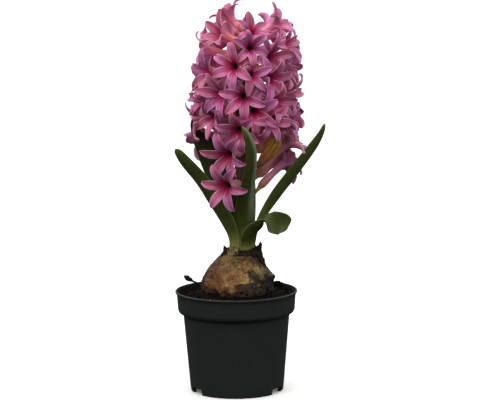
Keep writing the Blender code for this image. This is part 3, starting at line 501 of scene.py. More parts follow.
def moist_peat(colour):
    """Moist peat with composted bark: near black, reddish where fibres show, a few damp glints."""
    material, shader, add = new_material("moist_peat", {
        "IOR": 1.45, "Specular IOR Level": 0.05, "Roughness": 0.9
    })
    place = add("TexCoord").outputs["Object"]
    crumb = add("TexNoise", {"Scale": 1 / (1.6 * MM), "Detail": 6.0, "Vector": place})
    stops = ((0.35, shade(colour, 0.35)), (0.55, colour), (0.72, "24140e"), (0.85, "47301f"))
    tint = add("ValToRGB", {"stops": stops, 0: crumb})
    grit = add("TexNoise", {"Scale": 1 / (0.5 * MM), "Detail": 4.0, "Vector": place})
    bump = add("Bump", {"Strength": 0.9, "Distance": 0.5 * MM, "Height": grit})
    rough = add("MapRange", {"To Min": 0.6, "To Max": 1.0, "Value": grit})
    fill(shader, {"Base Color": tint, "Normal": bump, "Roughness": rough})
    return material


def pale_grit():
    """Bits of pale bark and husk in the peat: dull tan, speckled."""
    material, shader, add = new_material("pale_grit", {
        "IOR": 1.45, "Specular IOR Level": 0.2, "Roughness": 0.85
    })
    place = add("TexCoord").outputs["Object"]
    speck = add("TexNoise", {"Scale": 1 / (0.9 * MM), "Detail": 3.0, "Vector": place})
    stops = ((0.3, "4a3a2a"), (0.5, "8d7a5e"), (0.75, "b5a586"))
    tint = add("ValToRGB", {"stops": stops, 0: speck})
    bump = add("Bump", {"Strength": 0.5, "Distance": 0.2 * MM, "Height": speck})
    fill(shader, {"Base Color": tint, "Normal": bump})
    return material


def dry_bulb_tunic(colour):
    """Dry onion-like skin: ochre and orange-brown paper with fine upright fibres, lilac where a layer has
    peeled, dark peat and painted shade on its lower side, and painted light and shade across its flanks."""
    material, shader, add = new_material("dry_bulb_tunic", {
        "IOR": 1.45, "Specular IOR Level": 0.2, "Roughness": 0.7, "Sheen Weight": 0.04, "Sheen Roughness": 0.5
    })
    place = add("TexCoord").outputs["Object"]
    upright = add("Mapping", {"Scale": (1.0, 1.0, 0.16), "Vector": place})
    fibre = add("TexNoise", {"Scale": 1 / (0.9 * MM), "Detail": 5.0, "Distortion": 0.6, "Vector": upright})
    patch = add("TexNoise", {"Scale": 1 / (15 * MM), "Detail": 5.0, "Distortion": 0.8, "Vector": place})
    stops = ((0.32, "3c2616"), (0.44, "6a4526"), (0.54, colour), (0.64, "947a50"), (0.76, "7a5434"))
    paper = add("ValToRGB", {"stops": stops, 0: patch})
    lines = add("ValToRGB", {"stops": ((0.38, 0.42), (0.5, 0.9), (0.68, 1.25)), 0: fibre})
    lined = add("Mix", {**MULTIPLY, 0: 0.75, 6: paper, 7: lines})
    peel = add("TexNoise", {"Scale": 1 / (7 * MM), "Detail": 6.0, "Vector": place})
    sideways, _, upwards = add("SeparateXYZ", {0: place}).outputs
    left = add("MapRange", {
        "From Min": -10 * MM, "From Max": -26 * MM, "To Min": 0.0, "To Max": 0.16, "Value": sideways
    })
    peeled = add("Math", {"operation": "ADD", 0: peel, 1: left})
    lilac_share = add("ValToRGB", {"stops": ((0.6, 0.0), (0.72, 0.6)), 0: peeled})
    lilac = add("Mix", {**COLOURS, 7: "5f4844", 0: lilac_share, 6: lined})
    # Mud and painted shade: darker towards the bottom and the right, climbing highest at the right front,
    # away from the light.
    low = add("MapRange", {
        "From Min": 72 * MM, "From Max": 94 * MM, "To Min": 0.32, "To Max": -0.3, "Value": upwards
    })
    right = add("MapRange", {
        "From Min": -10 * MM, "From Max": 14 * MM, "To Min": -0.14, "To Max": 0.18, "Value": sideways
    })
    blotches = add("TexNoise", {"Scale": 1 / (8 * MM), "Detail": 7.0, "Roughness": 0.65, "Vector": place})
    reach = add("Math", {"operation": "ADD", 0: low, 1: right})
    mud_and_painted_shade = add("Math", {"operation": "ADD", 0: blotches, 1: reach})
    mud_and_painted_shade_share = add("ValToRGB", {"stops": ((0.5, 0.0), (0.62, 0.92)), 0: mud_and_painted_shade})
    skin = add("Mix", {**COLOURS, 7: "1e1510", 0: mud_and_painted_shade_share, 6: lilac})
    # The shoulder below the neck is darker, in blotches.
    shoulder = add("MapRange", {
        "From Min": 88 * MM, "From Max": 100 * MM, "To Min": -0.16, "To Max": 0.12, "Value": upwards
    })
    neck_blotches = add("Math", {"operation": "ADD", 0: blotches, 1: shoulder})
    neck_darkening = add("ValToRGB", {"stops": ((0.44, 1.0), (0.6, 0.3)), 0: neck_blotches})
    darker_at_neck = add("Mix", {**MULTIPLY, 0: 1.0, 6: skin, 7: neck_darkening})
    # Painted light and shade across the bulb: both flanks darker, the middle and the right front much
    # lighter; the left flank is also redder, the right front yellower.
    flank = add("MapRange", {"From Min": -30 * MM, "From Max": 30 * MM, "Value": sideways})
    sides = (
        (0.08, (0.32, 0.21, 0.23)),
        (0.28, (1.0, 0.76, 0.68)),
        (0.5, (1.6, 1.7, 1.4)),
        (0.68, (2.3, 2.85, 2.7)),
        (0.86, (0.42, 0.42, 0.42)),
    )
    painted_flank_light_and_shade = add("ValToRGB", {"stops": sides, 0: flank})
    flank_lit_and_shaded = add("Mix", {**MULTIPLY, 0: 1.0, 6: darker_at_neck, 7: painted_flank_light_and_shade})
    # Fine creases run round the bulb.
    level = add("Mapping", {"Scale": (0.3, 0.3, 1.0), "Vector": place})
    crease = add("TexNoise", {"Scale": 1 / (1.4 * MM), "Detail": 4.0, "Distortion": 1.4, "Vector": level})
    creases = add("ValToRGB", {"stops": ((0.4, 0.5), (0.52, 0.95), (0.66, 1.4)), 0: crease})
    creased = add("Mix", {**MULTIPLY, 0: 0.5, 6: flank_lit_and_shaded, 7: creases})
    rough = add("MapRange", {"To Min": 0.55, "To Max": 0.85, "Value": fibre})
    bump = add("Bump", {"Strength": 0.8, "Distance": 0.35 * MM, "Height": fibre})
    fill(shader, {"Base Color": creased, "Roughness": rough, "Normal": bump})
    return material


def old_tunic_scrap(name, dark, light):
    """Rotted outer skin of the bulb: crumpled dry paper, matte, streaked upright."""
    material, shader, add = new_material(name, {"IOR": 1.45, "Specular IOR Level": 0.15, "Roughness": 0.85})
    place = add("TexCoord").outputs["Object"]
    upright = add("Mapping", {"Scale": (1.0, 1.0, 0.35), "Vector": place})
    streak = add("TexNoise", {"Scale": 1 / (1.1 * MM), "Detail": 5.0, "Vector": upright})
    tint = add("ValToRGB", {"stops": ((0.38, dark), (0.66, light)), 0: streak})
    bump = add("Bump", {"Strength": 0.7, "Distance": 0.3 * MM, "Height": streak})
    fill(shader, {"Base Color": tint, "Normal": bump})
    return material


def fleshy_stem(colour):
    """A fleshy flower stalk: dark green flushed with red, waxy, with faint upright ribs."""
    material, shader, add = new_material("fleshy_stem", {"IOR": 1.42, "Roughness": 0.45})
    place = add("TexCoord").outputs["Object"]
    upright = add("Mapping", {"Scale": (1.0, 1.0, 0.08), "Vector": place})
    rib = add("TexNoise", {"Scale": 1 / (1.2 * MM), "Detail": 3.0, "Vector": upright})
    flush = add("TexNoise", {"Scale": 1 / (20 * MM), "Detail": 3.0, "Vector": place})
    stops = ((0.4, colour), (0.6, "5a3034"))
    tint = add("ValToRGB", {"stops": stops, 0: flush})
    bump = add("Bump", {"Strength": 0.4, "Distance": 0.2 * MM, "Height": rib})
    fill(shader, {"Base Color": tint, "Normal": bump})
    return material


def waxy_leaf(colour, foot_colour):
    """A fleshy strap leaf: deep green under a thin wax, with parallel veins, a pale thin margin and a
    yellow-green foot that the light never reached."""
    material, shader, add = new_material("waxy_leaf", {
        "IOR": 1.45, "Specular IOR Level": 0.35, "Subsurface Weight": 0.05, "Subsurface Scale": 1.0 * MM
    })
    place = add("Attribute", {"attribute_name": "blade_place"}).outputs["Vector"]
    across, along, painted_light_and_shade = add("SeparateXYZ", {0: place}).outputs
    # Veins lie about 0.7 mm apart, drawn a little coarser than they are so that they show.
    stretched = add("Mapping", {"Scale": (1.0, 0.04, 0.0), "Vector": place})
    veins = add("TexNoise", {"Scale": 9.0, "Detail": 4.0, "Roughness": 0.6, "Vector": stretched})
    spot = add("TexCoord").outputs["Object"]
    mottle = add("TexNoise", {"Scale": 1 / (9 * MM), "Detail": 4.0, "Vector": spot})
    vein_tone = add("MapRange", {
        "From Min": 0.3, "From Max": 0.7, "To Min": 0.72, "To Max": 1.3, "Value": veins
    })
    mottle_tone = add("MapRange", {
        "From Min": 0.3, "From Max": 0.7, "To Min": 0.85, "To Max": 1.18, "Value": mottle
    })
    # The third part of the blade place carries painted light: below zero it darkens the blade as painted
    # shade.
    painted_shade_tone = add("MapRange", {"From Min": -1.0, "From Max": 0.0, "To Min": 0.25, "Value": painted_light_and_shade})
    uneven = add("Math", {"operation": "MULTIPLY", 0: vein_tone, 1: mottle_tone})
    tone = add("Math", {"operation": "MULTIPLY", 0: uneven, 1: painted_shade_tone})
    # Along the blade: painted shade, dark brown, at the very foot where it meets the bulb, then the
    # yellow-green foot, the green blade and a lighter tip.
    lengthwise = add("ValToRGB", {
        "stops": (
            (0.0, "3c2e1a"),
            (0.025, "5a5230"),
            (0.05, foot_colour),
            (0.11, halfway(foot_colour, colour)),
            (0.2, colour),
            (0.9, shade(colour, 0.85)),
            (1.0, shade(colour, 1.5)),
        ),
        0: along,
    })
    toned = add("VectorMath", {"operation": "SCALE", 0: lengthwise, "Scale": tone})
    edge_distance = add("Math", {"operation": "ABSOLUTE", 0: across})
    margin = add("ValToRGB", {"stops": ((0.92, 0.0), (0.99, 0.45)), 0: edge_distance})
    edged = add("Mix", {**COLOURS, 7: "7d8a5c", 0: margin, 6: toned})
    # Above zero it mixes in a pale grey-green painted highlight.
    bloom = add("Mix", {**COLOURS, 7: "8c9c80", 0: painted_light_and_shade, 6: edged})
    rough = add("MapRange", {"To Min": 0.38, "To Max": 0.6, "Value": mottle})
    bump = add("Bump", {"Strength": 0.35, "Distance": 0.15 * MM, "Height": veins})
    fill(shader, {"Base Color": bloom, "Roughness": rough, "Normal": bump})
    return material


def hyacinth_petal(blade, edge, stripe, throat):
    """A waxy petal with a velvet bloom: pale margins with a painted highlight, a darker stripe down its
    middle, crimson in the throat darkened by painted shade deep down, and a deeper back and tube that turn
    brownish green at the stalk."""
    material, shader, add = new_material("hyacinth_petal", {
        "IOR": 1.4,
        "Specular IOR Level": 0.35,
        "Roughness": 0.5,
        "Subsurface Weight": 0.12,
        "Subsurface Scale": 1.2 * MM,
        "Sheen Weight": 0.18,
        "Sheen Roughness": 0.4,
    })
    place = add("Attribute", {"attribute_name": "petal_place"}).outputs["Vector"]
    across, along, inside = add("SeparateXYZ", {0: place}).outputs
    lengthwise = add("MapRange", {"From Min": -1.0, "From Max": 1.0, "Value": along})
    back_stops = (
        (0.0, "9a7c4c"),
        (0.1, "d09878"),
        (0.22, "e8989a"),
        (0.46, "e890ac"),
        (0.62, "e08cb2"),
        (1.0, "dc8ab4"),
    )
    back = add("ValToRGB", {"stops": back_stops, 0: lengthwise})
    # Deep in the throat the colour goes to near black: painted shade.
    front_stops = (
        (0.32, "3a0f1c"),
        (0.41, shade(throat, 0.6)),
        (0.5, throat),
        (0.6, halfway(throat, stripe)),
        (0.74, blade),
        (1.0, blade),
    )
    front = add("ValToRGB", {"stops": front_stops, 0: lengthwise})
    face = add("Mix", {**COLOURS, 0: inside, 6: back, 7: front})
    # The stripe fades out towards the margin, and the margin pales: partly its own paler colour, partly a
    # painted highlight.
    crosswise = add("ValToRGB", {"stops": ((0.0, 0.95), (0.12, 0.6), (0.4, 0.0)), 0: across})
    lobe = add("MapRange", {
        "From Min": 0.0, "From Max": 0.12, "To Min": 0.0, "To Max": 0.6, "Value": along
    })
    stripe_share = add("Math", {"operation": "MULTIPLY", 0: crosswise, 1: lobe})
    striped = add("Mix", {**COLOURS, 7: stripe, 0: stripe_share, 6: face})
    rim = add("ValToRGB", {"stops": ((0.66, 0.0), (0.95, 0.95)), 0: across})
    rim_pale_and_highlight_share = add("Math", {"operation": "MULTIPLY", 0: rim, 1: lobe})
    rim_pale_and_highlighted = add("Mix", {**COLOURS, 7: edge, 0: rim_pale_and_highlight_share, 6: striped})
    stretched = add("Mapping", {"Scale": (1.0, 0.14, 0.6), "Vector": place})
    fine = add("TexNoise", {"Scale": 9.0, "Detail": 5.0, "Vector": stretched})
    spot = add("TexCoord").outputs["Object"]
    cloud = add("TexNoise", {"Scale": 1 / (14 * MM), "Detail": 2.0, "Vector": spot})
    # Some florets are rosier and some bluer.
    hue = add("TexNoise", {"Scale": 1 / (17 * MM), "Detail": 1.0, "Vector": spot})
    shift = add("ValToRGB", {
        "stops": ((0.36, (0.94, 0.94, 1.12)), (0.5, 1.0), (0.64, (1.06, 1.0, 0.88))), 0: hue
    })
    shifted = add("Mix", {**MULTIPLY, 0: 1.0, 6: rim_pale_and_highlighted, 7: shift})
    # The very tips dry first.
    dry = add("ValToRGB", {"stops": ((0.975, 0.0), (1.0, 0.5)), 0: lengthwise})
    tipped = add("Mix", {**COLOURS, 7: "7a4440", 0: dry, 6: shifted})
    both = add("Math", {"operation": "ADD", 0: fine, 1: cloud})
    tone = add("MapRange", {"From Min": 0.7, "From Max": 1.3, "To Min": 0.6, "To Max": 1.4, "Value": both})
    toned = add("VectorMath", {"operation": "SCALE", 0: tipped, "Scale": tone})
    bump = add("Bump", {"Strength": 0.3, "Distance": 0.2 * MM, "Height": fine})
    fill(shader, {"Base Color": toned, "Normal": bump})
    return material


def anther_in_painted_shade():
    """Anthers down in the throat: almost black, painted shade for the dark of the throat, with a dull
    yellowish dust.
    """
    material, shader, add = new_material("anther_in_painted_shade", {"IOR": 1.45, "Roughness": 0.8})
    place = add("TexCoord").outputs["Object"]
    dust = add("TexNoise", {"Scale": 1 / (0.5 * MM), "Detail": 3.0, "Vector": place})
    stops = ((0.45, "1d130f"), (0.7, "4c3a22"))
    tint = add("ValToRGB", {"stops": stops, 0: dust})
    fill(shader, {"Base Color": tint})
    return material


def green_bud():
    """The last bud, which stayed closed: green at its foot and on one side, orange and pink above."""
    material, shader, add = new_material("green_bud", {"IOR": 1.42, "Roughness": 0.45})
    place = add("Attribute", {"attribute_name": "blade_place"}).outputs["Vector"]
    across, along, _ = add("SeparateXYZ", {0: place}).outputs
    stops = ((0.0, "5f6a2e"), (0.4, "9a7a3c"), (0.75, "b0704a"), (1.0, "6e6a3a"))
    upwards = add("ValToRGB", {"stops": stops, 0: along})
    # Painted shade in the seams between the folded petals, a little lighter on their ridges.
    ribs = add("ValToRGB", {"stops": ((0.0, 0.5), (0.5, 1.1)), 0: across})
    tint = add("Mix", {**MULTIPLY, 0: 1.0, 6: upwards, 7: ribs})
    fill(shader, {"Base Color": tint})
    return material


def withered_petal():
    """A spent floret, dried to translucent golden-brown skin with pink left in its tube."""
    material, shader, add = new_material("withered_petal", {"IOR": 1.45, "Roughness": 0.6})
    place = add("Attribute", {"attribute_name": "blade_place"}).outputs["Vector"]
    _, along, _ = add("SeparateXYZ", {0: place}).outputs
    stops = (
        (0.0, "8a504a"),
        (0.18, "c47c74"),
        (0.42, "d08a58"),
        (0.6, "c08a34"),
        (0.85, "9a7428"),
        (1.0, "64481c"),
    )
    lengthwise = add("ValToRGB", {"stops": stops, 0: along})
    stretched = add("Mapping", {"Scale": (7.0, 0.9, 1.0), "Vector": place})
    streak = add("TexNoise", {"Scale": 2.2, "Detail": 5.0, "Vector": stretched})
    tone = add("MapRange", {
        "From Min": 0.3, "From Max": 0.7, "To Min": 0.45, "To Max": 1.5, "Value": streak
    })
    tint = add("VectorMath", {"operation": "SCALE", 0: lengthwise, "Scale": tone})
    bump = add("Bump", {"Strength": 0.6, "Distance": 0.3 * MM, "Height": streak})
    fill(shader, {"Base Color": tint, "Normal": bump})
    return material


def twig_bark():
    """A bit of dead twig: dark cracked bark with a greyish bloom on its ridges."""
    material, shader, add = new_material("twig_bark", {
        "IOR": 1.45, "Specular IOR Level": 0.2, "Roughness": 0.9
    })
    place = add("TexCoord").outputs["Object"]
    crack = add("TexNoise", {"Scale": 1 / (0.8 * MM), "Detail": 5.0, "Vector": place})
    stops = ((0.4, "120d0b"), (0.6, "2b201a"), (0.8, "54463a"))
    tint = add("ValToRGB", {"stops": stops, 0: crack})
    bump = add("Bump", {"Strength": 0.8, "Distance": 0.3 * MM, "Height": crack})
    fill(shader, {"Base Color": tint, "Normal": bump})
    return material


def studio_paper(name, colour, strength):
    """Matte white background paper, very slightly uneven, that glows a little so that shadows on it stay
    faint.
    """
    glow = {"Emission Color": 1.0, "Emission Strength": strength}
    matte = {"IOR": 1.45, "Roughness": 0.9, "Specular IOR Level": 0.2}
    material, shader, add = new_material(name, {**matte, **glow})
    place = add("TexCoord").outputs["Object"]
    cloud = add("TexNoise", {"Scale": 3.0, "Detail": 2.0, "Vector": place})
    stops = ((0.3, shade(colour, 0.97)), (0.7, colour))
    tint = add("ValToRGB", {"stops": stops, 0: cloud})
    fill(shader, {"Base Color": tint})
    return material


# ---------------------------------------------------------------- shapes that several pieces share


def smooth_line(points, count):
    """Evenly numbered points on a Catmull-Rom curve through vectors of any length."""
    points = [Vector(point) for point in points]
    points = [2 * points[0] - points[1], *points, 2 * points[-1] - points[-2]]
    spans = len(points) - 3
    line = []
    for index in range(count):
        place = index * spans / (count - 1)
        span = min(int(place), spans - 1)
        t = place - span
        a, b, c, d = points[span : span + 4]
        curve = (2 * a - 5 * b + 4 * c - d) * t**2 + (3 * b - a - 3 * c + d) * t**3
        line.append(0.5 * (2 * b + (c - a) * t + curve))
    return line


def read_profile(profile, place):
    """The value at a place in a profile of (place, value) pairs, on straight lines between them."""
    for (start, low), (end, high) in zip(profile, profile[1:]):
        if place <= end:
            return low + (high - low) * (place - start) / (end - start)
    return profile[-1][1]


def read_smooth(profile, place):
    """As read_profile, with each stretch eased in and out."""
    for (start, low), (end, high) in zip(profile, profile[1:]):
        if place <= end:
            share = (place - start) / (end - start)
            return low + (high - low) * share * share * (3 - 2 * share)
    return profile[-1][1]


def eased(share):
    """0 to 1 as share goes from 0 to 1, flat at both ends."""
    share = min(max(share, 0.0), 1.0)
    return share * share * (3 - 2 * share)


def outward(azimuth):
    angle = radians(azimuth)
    return Vector((sin(angle), -cos(angle), 0.0))


def stem_centre(height):
    """The middle of the stem at a height."""
    profile = [(z * MM, x * MM) for x, z in STEM_LINE]
    return Vector((read_profile(profile, height), 0.0, height))


def stem_radius(height):
    foot, top = STEM_LINE[0][1] * MM, STEM_LINE[-1][1] * MM
    share = ((height - foot) / (top - foot)) ** 1.5
    return STEM_RADIUS_FOOT + (STEM_RADIUS_TOP - STEM_RADIUS_FOOT) * share


def cross_axes(along, reference):
    """Two directions across a line and square to each other; the first lies towards the reference."""
    first = (reference - along * reference.dot(along)).normalized()
    return first, along.cross(first)


def ring_points(centre, along, reference, radius, sides, turn=0.0):
    """Points round a centre, in the plane across a direction; the first lies towards the reference."""
    first, second = cross_axes(along.normalized(), reference)
    angles = [radians(turn) + tau * index / sides for index in range(sides)]
    return [centre + (first * cos(angle) + second * sin(angle)) * radius for angle in angles]


def band_faces(low, high, sides):
    """The faces between two rings of points that start at the given numbers."""
    return [
        (low + index, low + (index + 1) % sides, high + (index + 1) % sides, high + index)
        for index in range(sides)
    ]


def tube_faces(start, rings, sides):
    """The faces of a tube through rings of points, the first of which starts at a number."""
    faces = []
    for ring in range(1, rings):
        faces += band_faces(start + (ring - 1) * sides, start + ring * sides, sides)
    return faces


def close_end(points, faces, start, sides):
    """Adds the middle of a ring of points and a fan of faces round it."""
    middle = len(points)
    points.append(sum(points[start : start + sides], Vector()) / sides)
    faces += [(start + index, start + (index + 1) % sides, middle) for index in range(sides)]


def rings_to_body(rings):
    """Points and faces of a closed body through rings of equally many points."""
    sides = len(rings[0])
    points = [point for ring in rings for point in ring]
    faces = tube_faces(0, len(rings), sides)
    for start in (0, len(points) - sides):
        close_end(points, faces, start, sides)
    return points, faces


def direction(line, index):
    """Along a line of points at one of them, not to length."""
    return line[min(index + 1, len(line) - 1)] - line[max(index - 1, 0)]


def shifted(place, size, seed):
    return place / size + Vector((seed, 0.37 * seed, 1.7 * seed))


def wavy(place, size, seed=0.0):
    """Smooth noise from -1 to 1 at a place, with lumps of about the given size."""
    return noise.noise(shifted(place, size, seed))


def rough(place, size, seed=0.0):
    """Noise from about -1 to 1 with finer lumps on its lumps."""
    return noise.fractal(shifted(place, size, seed), 0.6, 2.1, 4)


def object_collection():
    """The collection that all the plant's pieces go in."""
    name = "Potted Hyacinth"
    found = bpy.data.collections.get(name)
    if found is None:
        found = bpy.data.collections.new(name)
        bpy.context.scene.collection.children.link(found)
    return found


def outward_mesh(name, points, faces):
    """A mesh of a closed body, with all its faces turned outwards."""
    mesh = bpy.data.meshes.new(name)
    mesh.from_pydata([tuple(point) for point in points], [], faces)
    body = bmesh.new()
    body.from_mesh(mesh)
    bmesh.ops.recalc_face_normals(body, faces=body.faces)
    body.to_mesh(mesh)
    body.free()
    return mesh


def add_piece(name, shape, materials, nodes=(), places=None, kinds=None):
    """A new piece of the plant from its (points, faces). nodes are the CAD nodes that it stands for, places
    is (attribute name, one vector for each point), and kinds numbers each face's material."""
    mesh = outward_mesh(name, *shape)
    if places:
        layer = mesh.attributes.new(places[0], "FLOAT_VECTOR", "POINT")
        layer.data.foreach_set("vector", [part for place in places[1] for part in place])
    if kinds:
        mesh.polygons.foreach_set("material_index", kinds)
    mesh.shade_smooth()
    for material in materials:
        mesh.materials.append(material)
    piece = bpy.data.objects.new(name, mesh)
    object_collection().objects.link(piece)
    settle(piece, nodes)


def settle(piece, nodes=()):
    """The piece belongs to the plant and stands for these CAD nodes, which are hidden."""
    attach(piece, "root")
    if nodes:
        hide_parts(*nodes)


def pebble(centre, size, generator):
    """Points and faces of one irregular crumb."""
    body = bmesh.new()
    bmesh.ops.create_icosphere(body, subdivisions=2, radius=1.0)
    stretch = Vector([generator.uniform(0.6, 1.2) for _ in range(3)])
    turn = Matrix.Rotation(generator.uniform(0, 6.28), 3, "Z")
    turn = turn @ Matrix.Rotation(generator.uniform(0, 6.28), 3, "X")
    seed = generator.uniform(0, 50)
    points = []
    for vertex in body.verts:
        bulge = 1.0 + 0.45 * wavy(vertex.co, 0.9, seed)
        shaped = Vector([part * factor for part, factor in zip(vertex.co * bulge, stretch)])
        points.append(centre + turn @ shaped * size)
    faces = [tuple(vertex.index for vertex in face.verts) for face in body.faces]
    body.free()
    return points, faces


def joined(bodies):
    """Several (points, faces) as one."""
    points, faces = [], []
    for more_points, more_faces in bodies:
        start = len(points)
        points += more_points
        faces += [tuple(start + corner for corner in face) for face in more_faces]
    return points, faces


def sheet_body(top, bottom, columns):
    """Points and faces of a closed thin body between two grids of points with equally many rows."""
    rows = len(top) // columns
    shift = len(top)
    faces = []
    for row in range(1, rows):
        for column in range(1, columns):
            corner = row * columns + column
            quad = (corner - columns - 1, corner - columns, corner, corner - 1)
            faces += [quad, tuple(shift + point for point in quad)]
    edge = list(range(columns))
    edge += [row * columns + columns - 1 for row in range(1, rows)]
    edge += [(rows - 1) * columns + column for column in range(columns - 2, -1, -1)]
    edge += [row * columns for row in range(rows - 2, 0, -1)]
    for here, following in zip(edge, edge[1:] + edge[:1]):
        faces.append((here, following, following + shift, here + shift))
    return list(top) + list(bottom), faces


# ---------------------------------------------------------------- pot


def pot_profile():
    """Half of the pot's section: up its inside from the floor's middle, over the lip, down and under."""
    floor = FOOT_HEIGHT + FLOOR_THICKNESS
    lip_inner = LIP_RADIUS - 1.9 * MM
    collar_inner = COLLAR_RADIUS - WALL
    return (
        (0.0, floor),
        (BASE_RADIUS - WALL - 1.5 * MM, floor),
        (BASE_RADIUS - WALL + 0.3 * MM, floor + 1.5 * MM),
        (BODY_TOP_RADIUS - WALL, BODY_TOP),
        (BODY_TOP_RADIUS - WALL + 0.4 * MM, BODY_TOP + 0.9 * MM),
        (collar_inner - 0.8 * MM, COLLAR_BOTTOM + 0.6 * MM),
        (collar_inner, COLLAR_BOTTOM + 1.8 * MM),
        (lip_inner - 0.6 * MM, POT_HEIGHT - 2.6 * MM),
        (lip_inner, POT_HEIGHT - 1.0 * MM),
        (lip_inner + 0.6 * MM, POT_HEIGHT - 0.15 * MM),
        (LIP_RADIUS - 0.6 * MM, POT_HEIGHT),
        (LIP_RADIUS, POT_HEIGHT - 0.7 * MM),
        (LIP_RADIUS - 0.2 * MM, POT_HEIGHT - 1.5 * MM),
        (COLLAR_RADIUS + 0.5 * MM, POT_HEIGHT - 3.0 * MM),
        (COLLAR_RADIUS + 0.2 * MM, POT_HEIGHT - 5.0 * MM),
        (COLLAR_RADIUS - 0.4 * MM, COLLAR_BOTTOM + 1.8 * MM),
        (COLLAR_RADIUS - 1.2 * MM, COLLAR_BOTTOM + 0.2 * MM),
        (BODY_TOP_RADIUS + 1.2 * MM, BODY_TOP + 1.6 * MM),
        (BODY_TOP_RADIUS + 0.2 * MM, BODY_TOP + 0.8 * MM),
        (BODY_TOP_RADIUS, BODY_TOP),
        (BASE_RADIUS + 0.6 * MM, 5.5 * MM),
        (BASE_RADIUS, 0.6 * MM),
        (BASE_RADIUS - 0.6 * MM, 0.0),
        (BASE_RADIUS - FOOT_WIDTH, 0.0),
        (BASE_RADIUS - FOOT_WIDTH, FOOT_HEIGHT),
        (PAD_RADIUS, FOOT_HEIGHT),
        (PAD_RADIUS - 0.5 * MM, 0.0),
        (0.0, 0.0),
    )


def filleted(profile, most, steps):
    """A profile with each corner rounded by at most the given distance along its two sides."""
    line = [Vector(profile[0])]
    for before, corner, after in zip(profile, profile[1:], profile[2:]):
        before, corner, after = Vector(before), Vector(corner), Vector(after)
        back, ahead = before - corner, after - corner
        start = corner + back.normalized() * min(most, 0.45 * back.length)
        end = corner + ahead.normalized() * min(most, 0.45 * ahead.length)
        for step in range(steps + 1):
            t = step / steps
            line.append(start * (1 - t) ** 2 + corner * 2 * t * (1 - t) + end * t**2)
    line.append(Vector(profile[-1]))
    return line


def cutter_from(name, points, faces):
    """A hidden body that a Boolean takes away."""
    cutter = bpy.data.objects.new(name, outward_mesh(name, points, faces))
    bpy.context.scene.collection.objects.link(cutter)
    return cutter


def notch_body(azimuth):
    """A wedge between two feet of the foot ring."""
    middle = outward(azimuth)
    inner, outer = BASE_RADIUS - 2 * FOOT_WIDTH, BASE_RADIUS + FOOT_WIDTH
    sweep = tan(radians(NOTCH_ANGLE / 2))
    side = UP.cross(middle)
    points = []
    for height in (-1.0 * MM, FOOT_HEIGHT - 0.2 * MM):
        narrowing = 1.0 if height < 0 else 0.9
        for radius in (inner, outer):
            place = middle * radius + UP * height
            half = side * radius * sweep * narrowing
            points += [place - half, place + half]
    faces = [(0, 1, 3, 2), (4, 5, 7, 6), (0, 1, 5, 4), (2, 3, 7, 6), (0, 2, 6, 4), (1, 3, 7, 5)]
    return points, faces


def build_pot(material):
    mesh = bpy.data.meshes.new("nursery_pot")
    profile = filleted(pot_profile(), FILLET, FILLET_STEPS)
    pairs = [(index, index + 1) for index in range(len(profile) - 1)]
    mesh.from_pydata([(radius, 0.0, height) for radius, height in profile], [], pairs)
    pot = bpy.data.objects.new("nursery_pot", mesh)
    object_collection().objects.link(pot)
    turn = pot.modifiers.new("Turn", "SCREW")
    turn.steps = POT_SEGMENTS
    turn.render_steps = POT_SEGMENTS
    turn.use_merge_vertices = True
    turn.merge_threshold = MERGE_DISTANCE
    cutters = [
        cutter_from(f"foot_notch_{index}", *notch_body((index + 0.5) * 360 / FOOT_COUNT))
        for index in range(FOOT_COUNT)
    ]
    for index in range(DRAIN_COUNT):
        centre = outward(index * 360 / DRAIN_COUNT) * DRAIN_CIRCLE
        rings = [
            ring_points(centre + UP * height, UP, FRONT, DRAIN_RADIUS, DRAIN_SIDES)
            for height in (FOOT_HEIGHT - 2 * MM, FOOT_HEIGHT + 3 * MM)
        ]
        cutters.append(cutter_from(f"drain_{index}", *rings_to_body(rings)))
    for cutter in cutters:
        boolean = pot.modifiers.new(cutter.name, "BOOLEAN")
        boolean.operation = "DIFFERENCE"
        boolean.solver = "EXACT"
        boolean.object = cutter
    bpy.context.view_layer.update()
    finished = bpy.data.meshes.new_from_object(pot.evaluated_get(bpy.context.evaluated_depsgraph_get()))
    pot.modifiers.clear()
    pot.data = finished
    for cutter in cutters:
        bpy.data.objects.remove(cutter, do_unlink=True)
    finished.shade_smooth()
    finished.set_sharp_from_angle(angle=SHARP_ANGLE)
    finished.materials.clear()
    finished.materials.append(material)
    settle(pot, ["pot"])


# ---------------------------------------------------------------- soil


def soil_level(share):
    """The soil's height in millimetres at a share of the way from the bulb to the pot's wall."""
    return SOIL_AT_BULB + (SOIL_EDGE - SOIL_AT_BULB) * eased(share * 1.3)


def soil_surface(place):
    """How far the soil's top stands above its level at a place, in metres."""
    lumps = 0.9 * rough(place, 9 * MM, 3.0) + 0.45 * rough(place, 2.6 * MM, 8.0)
    return lumps * MM


